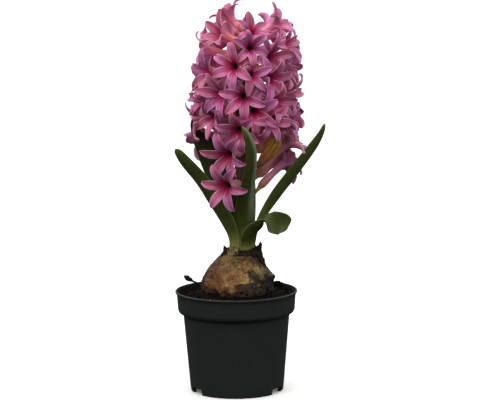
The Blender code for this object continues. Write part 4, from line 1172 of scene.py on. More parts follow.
def build_soil(peat, husk):
    floor = FOOT_HEIGHT + FLOOR_THICKNESS + GAP
    collar_inner = COLLAR_RADIUS - WALL - GAP
    body_inner = BODY_TOP_RADIUS - WALL - GAP
    # Each ring: sideways place of its centre, radius, height, and how rough it is.
    rings = [
        (sideways * MM, (radius + 0.42) * MM, height * MM, 0.0) for height, sideways, radius in BULB_RINGS[:4]
    ]
    seat = SOIL_SEAT * MM
    rings.append((1.0 * MM, seat, (SOIL_AT_BULB - 2.2) * MM, 0.0))
    for row in range(SOIL_ROWS + 1):
        share = row / SOIL_ROWS
        radius = seat + (collar_inner - 0.2 * MM - seat) * share
        banked = 0.9 * exp(-share * 9)
        height = (soil_level(share) + banked) * MM
        rings.append((1.0 * MM * (1 - share), radius, height, 1.0 - 0.7 * share**8))
    rings += [
        (0.0, collar_inner - 0.1 * MM, (SOIL_EDGE - 1.6) * MM, 0.0),
        (0.0, collar_inner - 0.1 * MM, COLLAR_BOTTOM + 2.2 * MM, 0.0),
        (0.0, collar_inner - 1.2 * MM, COLLAR_BOTTOM + 1.2 * MM, 0.0),
        (0.0, body_inner, BODY_TOP + 0.5 * MM, 0.0),
        (0.0, BASE_RADIUS - WALL - GAP, floor + 2.0 * MM, 0.0),
        (0.0, BASE_RADIUS - WALL - 2.2 * MM, floor, 0.0),
    ]
    body = []
    for sideways, radius, height, lumpy in rings:
        ring = ring_points(Vector((sideways, 0.0, height)), UP, FRONT, radius, SOIL_SEGMENTS)
        body.append([point + UP * soil_surface(point) * lumpy for point in ring])
    add_piece("potting_soil", rings_to_body(body), [peat], ["soil"])

    generator = random.Random(SOIL_SEED)
    crumbs, husks = [], []
    for _ in range(CRUMB_COUNT):
        share = sqrt(generator.uniform(0.0, 1.0))
        radius = (27.5 + 13.0 * share) * MM
        azimuth = generator.uniform(-180, 180)
        size = (0.35 + 1.0 * generator.random() ** 3) * MM
        centre = outward(azimuth) * radius + UP * crumb_level(radius)
        centre = centre + UP * (soil_surface(centre) + 0.25 * size)
        crumbs.append(pebble(centre, size, generator))
    # Crumbs cling to the foot of the bulb, more of them at the right front.
    for _ in range(CLINGING_COUNT):
        azimuth = generator.uniform(-180, 180)
        climb = 5.5 if -20 < azimuth < 110 else 2.5
        height = SOIL_AT_BULB + 0.4 + climb * generator.random() ** 2.2
        place = bulb_at(azimuth, (height - BULB_FOOT) / (BULB_NECK - BULB_FOOT))
        crumbs.append(pebble(place, (0.3 + 0.7 * generator.random() ** 3) * MM, generator))
    for azimuth, radius, size, lift in LUMPS:
        centre = outward(azimuth) * radius * MM + UP * (SOIL_EDGE + lift) * MM
        crumbs.append(pebble(centre, size * MM, generator))
    for azimuth, radius, size in HUSKS:
        centre = outward(azimuth) * radius * MM
        centre = centre + UP * (crumb_level(radius * MM) + soil_surface(centre) + 0.4 * size * MM)
        husks.append(pebble(centre, size * MM, generator))
    add_piece("soil_crumbs", joined(crumbs), [peat])
    add_piece("soil_husks", joined(husks), [husk])


def bulb_at(azimuth, share):
    """A point on the bulb's skin at a share of its height."""
    wanted = BULB_FOOT + share * (BULB_NECK - BULB_FOOT)
    row = next(index for index, ring in enumerate(BULB_LINE) if ring[0] >= wanted)
    return bulb_point(azimuth, row / (len(BULB_LINE) - 1))


def crumb_level(radius):
    """The height of the soil at a distance from the pot's middle."""
    return soil_level((radius / MM - SOIL_SEAT) / (SOIL_WALL - SOIL_SEAT)) * MM


# ---------------------------------------------------------------- bulb, tunic scraps, stem and bud


def bulb_point(azimuth, place):
    """A point on the bulb's wrinkled skin; place goes from 0 at its underside to 1 at its neck."""
    last = len(BULB_LINE) - 1
    height, sideways, radius = BULB_LINE[min(int(place * last + 0.5), last)]
    centre = Vector((sideways, 0.0, height)) * MM
    around = outward(azimuth)
    smooth = centre + around * radius * MM
    stretched = Vector((smooth.x, smooth.y, 0.22 * smooth.z))
    lumps = 0.55 * rough(smooth, 13 * MM, 5.0) + 0.28 * wavy(smooth, 5 * MM, 9.0)
    wrinkles = 0.30 * noise.ridged_multi_fractal(stretched / (3.2 * MM), 0.8, 2.1, 4, 1.0, 2.0) - 0.3
    # Layers of skin end in low ragged steps.
    layer = wavy(Vector((smooth.x, smooth.y, 0.5 * smooth.z)), 11 * MM, 14.0)
    layer += 0.35 * wavy(smooth, 2.6 * MM, 4.0)
    step = 0.28 * eased((layer - 0.02) / 0.06) + 0.24 * eased((layer + 0.33) / 0.05) - 0.3
    knob = 1.9 * exp(-((azimuth - 78) / 12) ** 2 - ((height - 85.5) / 3.0) ** 2)
    level = Vector((0.35 * smooth.x, 0.35 * smooth.y, smooth.z))
    creases = 0.34 * wavy(level, 1.5 * MM, 21.0) * eased((90 - height) / 8)
    fade = eased((height - 50.0) / 12.0) * (0.35 + 0.65 * eased((BULB_NECK - height) / 5.0))
    return smooth + around * (lumps + wrinkles + creases + step + knob) * fade * MM


BULB_LINE = [tuple(point) for point in smooth_line(BULB_RINGS, BULB_ROWS)]


def build_bulb(skin):
    rings = []
    for row in range(BULB_ROWS):
        place = row / (BULB_ROWS - 1)
        rings.append([bulb_point(index * 360 / BULB_SIDES - 180, place) for index in range(BULB_SIDES)])
    add_piece("bulb_skin", rings_to_body(rings), [skin], ["bulb"])
    generator = random.Random(FLAKE_SEED)
    flakes = [flake_body(*flake, generator) for flake in FLAKES]
    add_piece("bulb_skin_flakes", joined(flakes), [skin])


def flake_body(azimuth, place, wide, tall, generator):
    """A thin ragged flake that lies on the bulb and lifts at its upper edge."""
    seed = generator.uniform(0, 50)
    top, bottom = [], []
    for row in range(FLAKE_ROWS):
        v = row / (FLAKE_ROWS - 1)
        for column in range(FLAKE_COLUMNS):
            u = 2 * column / (FLAKE_COLUMNS - 1) - 1
            ragged = 1 + 0.25 * wavy(Vector((3 * u, 2 * v, 0.0)), 0.7, seed)
            across = u * (0.55 + 0.45 * sin(pi * (0.15 + 0.75 * v))) * ragged
            rise = v * (1 - 0.45 * u * u) + 0.12 * wavy(Vector((4 * u, 0.0, v)), 0.6, seed + 7)
            here = azimuth + 0.5 * wide * across
            base = bulb_point(here, min(max(place + tall * (rise - 0.5), 0.0), 1.0))
            lift = 0.12 + 0.75 * v**3 + 0.25 * abs(u) ** 3
            spot = base + outward(here) * lift * MM
            top.append(spot + outward(here) * 0.11 * MM)
            bottom.append(spot)
    return sheet_body(top, bottom, FLAKE_COLUMNS)


def rag_body(first, last, foot, top, lean, seed):
    """A crumpled, torn rag of tunic round the neck between two azimuths and two heights."""
    outer, inner = [], []
    for row in range(RAG_ROWS):
        v = row / (RAG_ROWS - 1)
        for column in range(RAG_COLUMNS):
            u = column / (RAG_COLUMNS - 1)
            ends = abs(2 * u - 1) ** 4
            torn = 1.0 - 0.5 * abs(wavy(Vector((u, 0.0, 0.0)), 0.09, seed)) - 0.3 * ends
            frayed = 1.0 - 0.22 * wavy(Vector((u, 5.0, 0.0)), 0.12, seed)
            height = foot * (1 - v) + (foot + (top - foot) * torn) * v
            height += 0.3 * (top - foot) * (1 - v) * (1 - frayed + ends)
            azimuth = first + (last - first) * (u + 0.05 * wavy(Vector((0.0, v, u)), 0.3, seed))
            crumple = 0.8 * wavy(Vector((9 * u, 2.5 * v, seed)), 1.0)
            crumple += 0.35 * wavy(Vector((26 * u, 8 * v, seed)), 1.0)
            out = read_profile(COLLAR_SHAPE, height) + 0.45 + lean * (height - foot)
            out += crumple * (0.35 + 0.8 * v)
            centre = Vector((SCRAP_CENTRE - 0.5 * max(SCRAP_FOOT - height, 0.0), 0.0, height)) * MM
            outer.append(centre + outward(azimuth) * (out + 0.2) * MM)
            inner.append(centre + outward(azimuth) * (out - 0.2) * MM)
    return sheet_body(outer, inner, RAG_COLUMNS)


def strand(radius, points):
    """A thin tapered wisp through points in millimetres."""
    line = smooth_line([Vector(point) * MM for point in points], STRAND_ROWS)
    rings = []
    for index, centre in enumerate(line):
        taper = 1.0 - 0.75 * index / (STRAND_ROWS - 1)
        across = Vector((0.3, 0.5, 0.8))
        rings.append(ring_points(centre, direction(line, index), across, radius * taper * MM, STRAND_SIDES))
    return rings_to_body(rings)


def build_scraps(dark, pale):
    for name, (first, last, top, lean) in SCRAPS.items():
        front = name == "tunic_scrap_front"
        layers = [
            rag_body(first, last, SCRAP_FOOT - 0.8, top, lean, 2.0),
            rag_body(first + 9, last - 12, SCRAP_FOOT - 1.2, top - 1.6, lean + 0.1, 6.0),
        ]
        add_piece(name + "_skin", joined(layers), [pale if front else dark], [name])
    loose = [strand(*wisp) for wisp in WISPS] + [rag_body(*rag) for rag in DARK_RAGS]
    add_piece("tunic_wisps", joined(loose), [dark])


def build_stem(flesh):
    foot = STEM_LINE[0][1] * MM + GAP
    rings = []
    for index in range(STEM_ROWS):
        height = foot + (STEM_END - foot) * index / (STEM_ROWS - 1)
        centre = stem_centre(height)
        bow = read_smooth([(z, sideways) for z, _, sideways in STEM_SWELL], height / MM) * MM
        radius = read_smooth([(z, swell) for z, swell, _ in STEM_SWELL], height / MM)
        radius = radius * stem_radius(height)
        shaped = []
        for number, point in enumerate(ring_points(centre, UP, FRONT, 1.0, STEM_SIDES)):
            rib = 1.0 + STEM_RIB_DEPTH * cos(STEM_RIBS * tau * number / STEM_SIDES)
            shaped.append(centre + Vector((bow, 0.0, 0.0)) + (point - centre) * radius * rib)
        rings.append(shaped)
    add_piece("stem_flesh", rings_to_body(rings), [flesh], ["flower_stem"])


def build_bud(green):
    """The small closed bud that ends the stem: six folded petals that meet in a point."""
    foot = stem_centre(BUD_FOOT)
    rings, places = [], []
    for index, (rise, radius) in enumerate(smooth_line(BUD_PROFILE, BUD_ROWS)):
        ring = []
        for number in range(BUD_SIDES):
            fold = abs(sin(pi * SIDES * number / BUD_SIDES))
            out = outward(360 * number / BUD_SIDES) * radius * (0.86 + 0.14 * fold) * MM
            ring.append(foot + UP * rise * MM + out)
            places.append((fold, index / (BUD_ROWS - 1), 0.0))
        rings.append(ring)
    places += [(0.5, 0.0, 0.0), (0.5, 1.0, 0.0)]
    add_piece("top_bud", rings_to_body(rings), [green], ["bud_top"], ("blade_place", places))


# ---------------------------------------------------------------- leaves


def leaf_body(rows, thickness):
    """Points, faces and blade places of a leaf: a channelled blade, thick in the middle and thin at its
    margins, that ends in a blunt hooded tip."""
    middle = smooth_line([Vector(row[0]) * MM for row in rows], LEAF_ROWS)
    shape = smooth_line([(row[1] * MM, row[3], *row[2]) for row in rows], LEAF_ROWS)
    lengths = [0.0]
    for before, after in zip(middle, middle[1:]):
        lengths.append(lengths[-1] + (after - before).length)
    rings, places = [], []
    for index in range(LEAF_ROWS):
        along = direction(middle, index).normalized()
        width, cup, *looks = shape[index]
        inner = Vector(looks)
        inner = (inner - along * inner.dot(along)).normalized()
        side = along.cross(inner)
        share = lengths[index] / lengths[-1]
        left = (lengths[-1] - lengths[index]) / LEAF_TIP
        blunt = 1.0 if left > 1 else sqrt(max(1 - (1 - left) ** 2, 0.012))
        half = radians(cup)
        radius = 0.5 * width / half
        front, back = [], []
        for column in range(LEAF_COLUMNS):
            u = 2 * column / (LEAF_COLUMNS - 1) - 1
            across = sin(0.5 * pi * u) * 0.35 + u * 0.65
            angle = half * across * blunt
            centre = middle[index] + (inner * (1 - cos(angle)) + side * sin(angle)) * radius
            normal = inner * cos(angle) - side * sin(angle)
            ripple = 0.35 * MM * across**2 * wavy(middle[index], 16 * MM, 2.0 * u)
            groove = 0.22 * MM * exp(-((across / 0.14) ** 2))
            rounded = 0.26 + 0.74 * sqrt(max(1 - across * across, 0.0))
            skin = 0.5 * thickness * rounded * (0.4 + 0.6 * blunt)
            vein = 0.025 * MM * cos(9 * pi * across)
            front.append(centre + normal * (skin + ripple - groove + vein))
            back.append(centre - normal * (skin - ripple + 0.5 * groove + vein))
            places.append((across, share, 0.0))
        rings.append(front + back[::-1])
        places += places[-LEAF_COLUMNS:][::-1]
    points, faces = rings_to_body(rings)
    places += [(0.0, 0.0, 0.0), (0.0, 1.0, 0.0)]
    return points, faces, places


def build_leaves(waxy, thickness):
    for name, rows in LEAVES.items():
        points, faces, places = leaf_body(rows, thickness)
        if name == "leaf_front":
            # Its right half gets a pale grey-green painted highlight.
            places = [
                (x, y, 0.62 * eased((-0.2 - x) / 0.25) * eased((y - 0.15) / 0.25)) for x, y, _ in places
            ]
        elif name == "leaf_back_left":
            # This leaf gets painted shade, darkest above its foot.
            places = [(x, y, -0.7 * eased((y - 0.1) / 0.3)) for x, y, _ in places]
        elif name == "leaf_right":
            # It leaves the others low down, so more of it stayed pale.
            places = [(x, y * (0.4 + 0.6 * y), z) for x, y, z in places]
        add_piece(name + "_blade", (points, faces), [waxy], [name], ("blade_place", places))


# ---------------------------------------------------------------- florets


def floret_frame(floret):
    """The mouth's centre, the way it faces, and a direction across it that the first petal lies on."""
    radial = outward(floret.azimuth)
    mouth = stem_centre(floret.height * MM) + radial * floret.reach * MM
    pitch = radians(floret.pitch)
    facing = radial * cos(pitch) + UP * sin(pitch)
    across = Matrix.Rotation(radians(floret.roll), 3, facing) @ facing.cross(radial.cross(UP))
    return mouth, facing, across.normalized()


def petal_frame(floret, index):
    """The mouth's centre, the way it faces, the way out to a petal, and the way across that petal."""
    mouth, facing, across = floret_frame(floret)
    out = Matrix.Rotation(tau * index / SIDES, 3, facing) @ across
    return mouth, facing, out, facing.cross(out)


def tube_line(floret, count):
    """Points along the floret's stalk and tube, from the stem to the mouth."""
    mouth, facing, _ = floret_frame(floret)
    foot_height = (floret.height - floret.drop) * MM
    radial = outward(floret.azimuth)
    foot = stem_centre(foot_height) + radial * (stem_radius(foot_height) + GAP)
    elbow = mouth - facing * 0.5 * (mouth - foot).length
    line = []
    for index in range(count):
        t = index / (count - 1)
        line.append(foot * (1 - t) ** 2 + elbow * 2 * t * (1 - t) + mouth * t**2)
    return line


def tube_direction(floret, line, index):
    """Along the tube: straight out of the stem at its foot, and the way the floret faces at its mouth."""
    if index == 0:
        return outward(floret.azimuth)
    if index == len(line) - 1:
        return floret_frame(floret)[1]
    return direction(line, index)


def tube_rings(floret):
    """Six-sided rings of the tube's outside from the stalk to the mouth, for testing what meets it."""
    last = TUBE_STEPS
    fine = tube_line(floret, last + 1)
    across = floret_frame(floret)[2]
    stalk = STALK_LENGTH / sum((b - a).length for a, b in zip(fine, fine[1:]))
    places = [(0.0, STALK_RADIUS), (0.8 * stalk, STALK_RADIUS)]
    for place, radius in TUBE_PROFILE:
        places.append((stalk + (1.0 - stalk) * place, radius * MM * floret.size))
    rings = []
    for place, radius in places:
        index = round(place * last)
        along = tube_direction(floret, fine, index)
        rings.append(ring_points(fine[index], along, across, radius, SIDES, turn=-30))
    return rings


def throat_rim(floret):
    """The six-sided inner edge of the mouth."""
    mouth, facing, across = floret_frame(floret)
    rim = (TUBE_PROFILE[-1][1] * MM - PETAL_THICKNESS) * floret.size
    return ring_points(mouth, facing, across, rim, SIDES, turn=-30)


def petal_rows(floret, index, petal, extra=0.0):
    """Rows across one petal after its foot: each is outer left, outer right, inner left, inner right."""
    mouth, facing, out, side = petal_frame(floret, index)
    stride = PETAL_LENGTH * floret.size * petal.length / PETAL_STEPS
    mouth_radius = TUBE_PROFILE[-1][1] * MM * floret.size - PETAL_THICKNESS / 2
    place = mouth + out * mouth_radius * cos(pi / SIDES)
    skin = PETAL_THICKNESS / 2 + extra
    widths = {round(share * PETAL_STEPS): width for share, width in PETAL_WIDTHS[1:]}
    rows = []
    for step in range(1, PETAL_STEPS + 1):
        rolled = ((step - 0.5) / PETAL_STEPS) ** petal.bend
        lean = radians(PETAL_START + (petal.spread - PETAL_START) * rolled)
        along = facing * cos(lean) + out * sin(lean)
        place = place + along * stride
        if step in widths:
            inner = (facing * sin(lean) - out * cos(lean)) * skin
            half = side * (widths[step] * MM * floret.size / 2 + extra)
            middle = place + side * petal.sway * (step / PETAL_STEPS) ** 2
            if step == PETAL_STEPS:
                middle = middle + along * extra
            outside, inside = middle - inner, middle + inner
            rows.append([outside - half, outside + half, inside - half, inside + half])
    return rows


def petal_choices():
    """Ways to lay a petal, from the wanted one to those that differ most from it."""
    choices = []
    for turn, sway, length, bend in itertools.product(TURNS, SWAYS, LENGTHS, (PETAL_BEND, 1.6, 0.55)):
        cost = abs(turn) / 14 + abs(sway) * 0.6 + (1.0 - length) * 18 + (bend != PETAL_BEND)
        choices.append((cost, Petal(turn, sway * MM, length, bend)))
    return [petal for _, petal in sorted(choices, key=lambda choice: choice[0])]


def as_obstacle(owner, points, faces):
    """A surface to keep clear of: whose it is, its box's corners and its tree of faces."""
    low, high = (Vector([pick(axis) for axis in zip(*points)]) for pick in (min, max))
    return owner, low, high, BVHTree.FromPolygons(points, faces)


def node_obstacle(name):
    """The surface of a CAD node."""
    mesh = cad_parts[name].data
    points = [vertex.co.copy() for vertex in mesh.vertices]
    return as_obstacle(name, points, [tuple(face.vertices) for face in mesh.polygons])


def meets_any(shell, obstacles):
    """Whether the surface of a closed shell, as points and faces, crosses that of any obstacle."""
    _, low, high, surface = as_obstacle(None, *shell)
    for _, other_low, other_high, other in obstacles:
        near = all(low[axis] <= other_high[axis] and other_low[axis] <= high[axis] for axis in range(3))
        if near and surface.overlap(other):
            return True
    return False


def petal_shell(rows):
    """Points and faces of one petal as a closed slab, for testing what it meets."""
    points = [point for row in rows for point in row]
    faces = [(0, 1, 3, 2)]
    for row in range(len(rows) - 1):
        low, high = 4 * row, 4 * row + 4
        faces += [
            (low, low + 1, high + 1, high),
            (low + 2, low + 3, high + 3, high + 2),
            (low, low + 2, high + 2),
            (low, high + 2, high),
            (low + 1, low + 3, high + 3),
            (low + 1, high + 3, high + 1),
        ]
    last = 4 * (len(rows) - 1)
    faces.append((last, last + 1, last + 3, last + 2))
    return points, faces


def foot_row(floret, index, extra=0.0):
    """The row that a petal springs from, between two corners of the mouth's outer and inner edges."""
    outer = tube_rings(floret)[-1]
    inner = throat_rim(floret)
    following = (index + 1) % SIDES
    row = [outer[index], outer[following], inner[index], inner[following]]
    middle = sum(row, Vector()) / 4
    return [point + (point - middle).normalized() * extra for point in row]


def petal_slab(floret, index, petal, extra=0.0):
    """Points and faces of one petal as a closed slab, as if its foot were cut at the mouth."""
    return petal_shell([foot_row(floret, index, extra / 2), *petal_rows(floret, index, petal, extra)])


def petal_core(floret, index, petal):
    """A petal's slab, drawn in at its foot, so that it meets a neighbour's core only where both cross."""
    foot = foot_row(floret, index)
    middle = sum(foot, Vector()) / 4
    foot = [point.lerp(middle, CORE_INSET) for point in foot]
    return petal_shell([foot, *petal_rows(floret, index, petal, CORE_MARGIN)])


def lay_petals(florets, obstacles):
    """A free way to lay each petal, so that no petal meets another petal, floret or leaf."""
    choices = petal_choices()
    nature = random.Random(PETAL_SEED)
    laid = []
    for number, floret in enumerate(florets):
        others = [obstacle for obstacle in obstacles if obstacle[0] != number]
        chosen, cores = [], []
        for index in range(SIDES):
            natural_spread = floret.spread + nature.uniform(-SPREAD_VARIES, SPREAD_VARIES)
            natural_sway = nature.uniform(-SWAY_VARIES, SWAY_VARIES)
            for choice in choices:
                spread = max(natural_spread + choice.spread, LEAST_SPREAD)
                petal = choice._replace(spread=spread, sway=natural_sway + choice.sway)
                core = petal_core(floret, index, petal)
                if meets_any(core, cores):
                    continue
                if not meets_any(petal_slab(floret, index, petal, CLEARANCE), others):
                    break
            chosen.append(petal)
            cores.append(as_obstacle(number, *core))
            obstacles.append(as_obstacle(number, *petal_slab(floret, index, petal)))
        laid.append(chosen)
    return laid


def round_angle(number):
    """The angle of a point on the floret's rings, and how far it is across its petal, from -1 to 1."""
    petal, step = divmod(number, PETAL_COLUMNS)
    across = 2 * step / PETAL_COLUMNS - 1
    return tau / SIDES * (petal + 0.5 * across), across


def fleshy_tube(floret):
    """Rings and places of the tube's outside: a thin stalk, a swollen foot, a waist, and six soft ribs."""
    fine = tube_line(floret, TUBE_RINGS)
    across = floret_frame(floret)[2]
    length = sum((b - a).length for a, b in zip(fine, fine[1:]))
    stalk = STALK_LENGTH / length
    profile = [(share * stalk, STALK_RADIUS / MM * swell) for share, swell in STALK_SWELLS]
    profile += [(stalk + (1 - stalk) * share, radius) for share, radius in TUBE_SWELLS]
    profile.append((1.0, TUBE_PROFILE[-1][1]))
    rings, places = [], []
    for index, centre in enumerate(fine):
        share = index / (TUBE_RINGS - 1)
        along = tube_direction(floret, fine, index)
        if 0 < index < TUBE_RINGS - 1:
            along = along.normalized()
        first, second = cross_axes(along, across)
        radius = read_smooth(profile, share) * MM * (floret.size if share > stalk else 1.0)
        ribbed = 0.09 * eased((share - stalk) / 0.15) * (1 - eased((share - 0.8) / 0.2))
        for number in range(SIDES * PETAL_COLUMNS):
            angle, u = round_angle(number)
            swell = 1.0 - ribbed * (1 - cos(0.5 * pi * u) ** 0.7)
            rings.append(centre + (first * cos(angle) + second * sin(angle)) * radius * swell)
            places.append((abs(u), share - 1.0, 0.0))
    return rings, places


def throat_depths(floret):
    """Rings and places of the open throat, from the mouth's inner edge down to where it closes."""
    fine = tube_line(floret, THROAT_STEPS)
    _, facing, across = floret_frame(floret)
    profile = ((0.0, (TUBE_PROFILE[-1][1] - PETAL_THICKNESS / MM) * floret.size), *THROAT_SWELLS)
    rings, places = [], []
    walked, index = 0.0, len(fine) - 1
    for step in range(THROAT_RINGS):
        wanted = THROAT_DEPTH * 1.15 * step / (THROAT_RINGS - 1)
        while walked < wanted and index > 1:
            walked += (fine[index] - fine[index - 1]).length
            index -= 1
        first, second = cross_axes(direction(fine, index).normalized() if step else facing, across)
        radius = read_smooth(profile, step / (THROAT_RINGS - 1)) * MM
        for number in range(SIDES * PETAL_COLUMNS):
            angle, u = round_angle(number)
            rings.append(fine[index] + (first * cos(angle) + second * sin(angle)) * radius)
            places.append((abs(u), -wanted / (11 * MM), 1.0))
    return rings, places


def petal_body(floret, index, petal, look, roll, generator):
    """Rows of one petal beyond its foot, and their places. Each row is PETAL_COLUMNS + 1 points on the back
    and as many on the front: an oblong strap, hollow lengthwise, that rolls back to a hooked tip."""
    mouth, facing, out, side = petal_frame(floret, index)
    scale = floret.size
    stride = PETAL_LENGTH * scale * petal.length / PETAL_ROWS
    place = mouth + out * (TUBE_PROFILE[-1][1] * MM * scale - PETAL_THICKNESS * scale / 2)
    stride *= generator.uniform(1.02, 1.16)
    twist = radians(generator.uniform(-TWIST_VARIES, TWIST_VARIES))
    hook = look.hook * roll * generator.choice(HOOKS)
    hook_from = generator.uniform(0.5, 0.66)
    roll_more = radians(generator.uniform(-20, 15))
    sway_more = generator.uniform(-1.9, 1.9) * MM
    channel = generator.uniform(0.9, 2.3)
    seed = generator.uniform(0, 90)
    broad = look.width / MM * generator.uniform(0.9, 1.08) * (0.75 + 0.25 * petal.length)
    if abs(floret.azimuth) > BACK_FROM:
        broad *= BACK_BROADER
    widths = [*PETAL_FOOT, *((share, part * broad) for share, part in PETAL_OUTLINE)]
    columns = [2 * column / PETAL_COLUMNS - 1 for column in range(PETAL_COLUMNS + 1)]
    rows, places = [], []
    for step in range(1, PETAL_ROWS + 1):
        share = step / PETAL_ROWS
        rolled = ((step - 0.5) / PETAL_ROWS) ** petal.bend
        lean = radians(PETAL_START + (petal.spread - PETAL_START) * rolled)
        lean += roll_more * share + hook * eased((share - hook_from) / (1 - hook_from))
        lean = min(lean, MOST_LEAN)
        along = facing * cos(lean) + out * sin(lean)
        place = place + along * stride
        inner = facing * sin(lean) - out * cos(lean)
        turn = twist * share * share
        flank = side * cos(turn) + inner * sin(turn)
        inner = inner * cos(turn) - side * sin(turn)
        middle = place + side * (petal.sway + sway_more) * share**2
        half = 0.5 * read_smooth(widths, share) * MM * scale
        back, front = [], []
        for u in columns:
            ripple = 0.45 * u * u * wavy(Vector((3.2 * share, u, seed)), 1.0) * min(share * 4, 1.0)
            cupped = 1.0 + (channel - 1.0) * min(share * 4, 1.0)
            rise = (read_smooth(PETAL_HOLLOW, share) * cupped * u * u + ripple) * MM * scale
            groove = 0.22 * MM * exp(-((u / 0.16) ** 2)) * min(share * 5, 1.0) * (1 - 0.7 * share)
            thick = 0.5 * PETAL_THICKNESS * scale * (1 - 0.72 * u**4 * min(share * 6, 1.0))
            thick *= 1 - 0.5 * share
            centre = middle + flank * half * u + inner * rise
            back.append(centre - inner * (thick + 0.4 * groove))
            front.append(centre + inner * (thick - groove))
        rows.append(back + front)
        places += [(abs(u), share, inside) for inside in (0.0, 1.0) for u in columns]
    return rows, places


def floret_body(floret, petals, look, generator):
    """Points, faces and places of one floret as a single skin: stalk, tube, open throat and six petals."""
    around, columns = SIDES * PETAL_COLUMNS, PETAL_COLUMNS + 1
    roll = generator.choice(ROLLS)
    points, places = fleshy_tube(floret)
    inner_edge = len(points)
    outer_edge = inner_edge - around
    throat_points, throat_places = throat_depths(floret)
    points += throat_points
    places += throat_places
    faces = tube_faces(0, TUBE_RINGS, around) + tube_faces(inner_edge, THROAT_RINGS, around)
    for start in (0, len(points) - around):
        close_end(points, faces, start, around)
        places.append((0.5, *places[start][1:]))
    for index, petal in enumerate(petals):
        span = [(index * PETAL_COLUMNS + step) % around for step in range(columns)]
        back, front = ([edge + number for number in span] for edge in (outer_edge, inner_edge))
        rows, row_places = petal_body(floret, index, petal, look, roll, generator)
        places += row_places
        for row in rows:
            start = len(points)
            points += row
            new_back, new_front = (range(first, first + columns) for first in (start, start + columns))
            for low, high in ((back, new_back), (front, new_front)):
                faces += [(low[s], low[s + 1], high[s + 1], high[s]) for s in range(PETAL_COLUMNS)]
            faces += [(back[s], front[s], new_front[s], new_back[s]) for s in (0, -1)]
            back, front = new_back, new_front
        faces += [(back[s], back[s + 1], front[s + 1], front[s]) for s in range(PETAL_COLUMNS)]
    return points, faces, places


def anther_bodies(floret):
    """Six anthers that stand against the wall of the throat, one before each petal."""
    bodies = []
    for index in range(SIDES):
        mouth, facing, out, _ = petal_frame(floret, index)
        top = mouth + out * 1.35 * MM * floret.size - facing * 2.0 * MM
        foot = mouth + out * 1.05 * MM * floret.size - facing * 4.4 * MM
        rings = []
        for step in range(ANTHER_ROWS):
            share = step / (ANTHER_ROWS - 1)
            radius = (0.12 + 0.42 * sin(pi * min(share + 0.1, 1.0))) * MM * floret.size
            rings.append(ring_points(foot.lerp(top, share), top - foot, out, radius, ANTHER_SIDES))
        bodies.append(rings_to_body(rings))
    return bodies


def build_florets(petal_skin, anther, look):
    obstacles = [node_obstacle(name) for name in ("flower_stem", *LEAVES, "floret_withered", "bud_top")]
    for number, floret in enumerate(FLORETS):
        rings = tube_rings(floret)
        points = [point for ring in rings for point in ring]
        obstacles.append(as_obstacle(number, points, tube_faces(0, len(rings), SIDES)))
    laid = lay_petals(FLORETS, obstacles)
    generator = random.Random(FLORET_SEED)
    for number, (floret, petals) in enumerate(zip(FLORETS, laid), 1):
        if abs(floret.azimuth) > FULLER_FROM:
            floret = floret._replace(size=BACK_SIZE * floret.size)
        floret = floret._replace(**SETTLED.get(number, {}))
        points, faces, places = floret_body(floret, petals, look, generator)
        shape = joined([(points, faces), *anther_bodies(floret)])
        more_points, more_faces = len(shape[0]) - len(points), len(shape[1]) - len(faces)
        places = ("petal_place", places + [ANTHER_PLACE] * more_points)
        kinds = [0] * len(faces) + [1] * more_faces
        node = f"floret_{number:02d}"
        add_piece(node + "_petals", shape, [petal_skin, anther], [node], places, kinds)


# ---------------------------------------------------------------- spent floret and twig


def build_withered(dry):
    """A spent floret: its petals have shrunk together into a ridged, twisted trumpet with a puckered end."""
    line = smooth_line([Vector(point) * MM for point in WITHERED_LINE], WITHERED_ROWS)
    radii = smooth_line([(radius, radius) for radius in WITHERED_RADII], WITHERED_ROWS)
    rings, places = [], []
    for index, centre in enumerate(line):
        share = index / (WITHERED_ROWS - 1)
        along = direction(line, index).normalized()
        ring = []
        for number, point in enumerate(ring_points(centre, along, FRONT, 1.0, WITHERED_SIDES)):
            turn = number / WITHERED_SIDES
            folds = abs(sin(pi * (6 * turn + 0.5 * share)))
            creased = 0.80 + 0.26 * folds * eased(share / 0.4)
            creased += 0.10 * rough(point - centre + along * 6 * share, 0.9, 2.0)
            fray = wavy(Vector((6.28 * turn, 0.0, 1.0)), 0.8)
            ragged = along * 1.5 * MM * fray * eased((share - 0.6) / 0.4)
            ring.append(centre + (point - centre) * radii[index][0] * MM * creased + ragged)
            places.append((turn, share, 0.0))
        rings.append(ring)
    bodies = [rings_to_body(rings)]
    places += [(0.5, 0.0, 0.0), (0.5, 1.0, 0.0)]
    # Dried petal ends curl out of the folds.
    generator = random.Random(LOBE_SEED)
    along = (line[-1] - line[-8]).normalized()
    start = line[-1] - along * 4.5 * MM
    for number, out in enumerate(ring_points(Vector(), along, FRONT, 1.0, SIDES, turn=20)):
        lobe = lobe_body(start, along, out, generator)
        bodies.append(lobe)
        places += [(0.1 + 0.15 * number, 0.9, 0.0)] * len(lobe[0])
    places = ("blade_place", places)
    add_piece("floret_withered_skin", joined(bodies), [dry], ["floret_withered"], places)


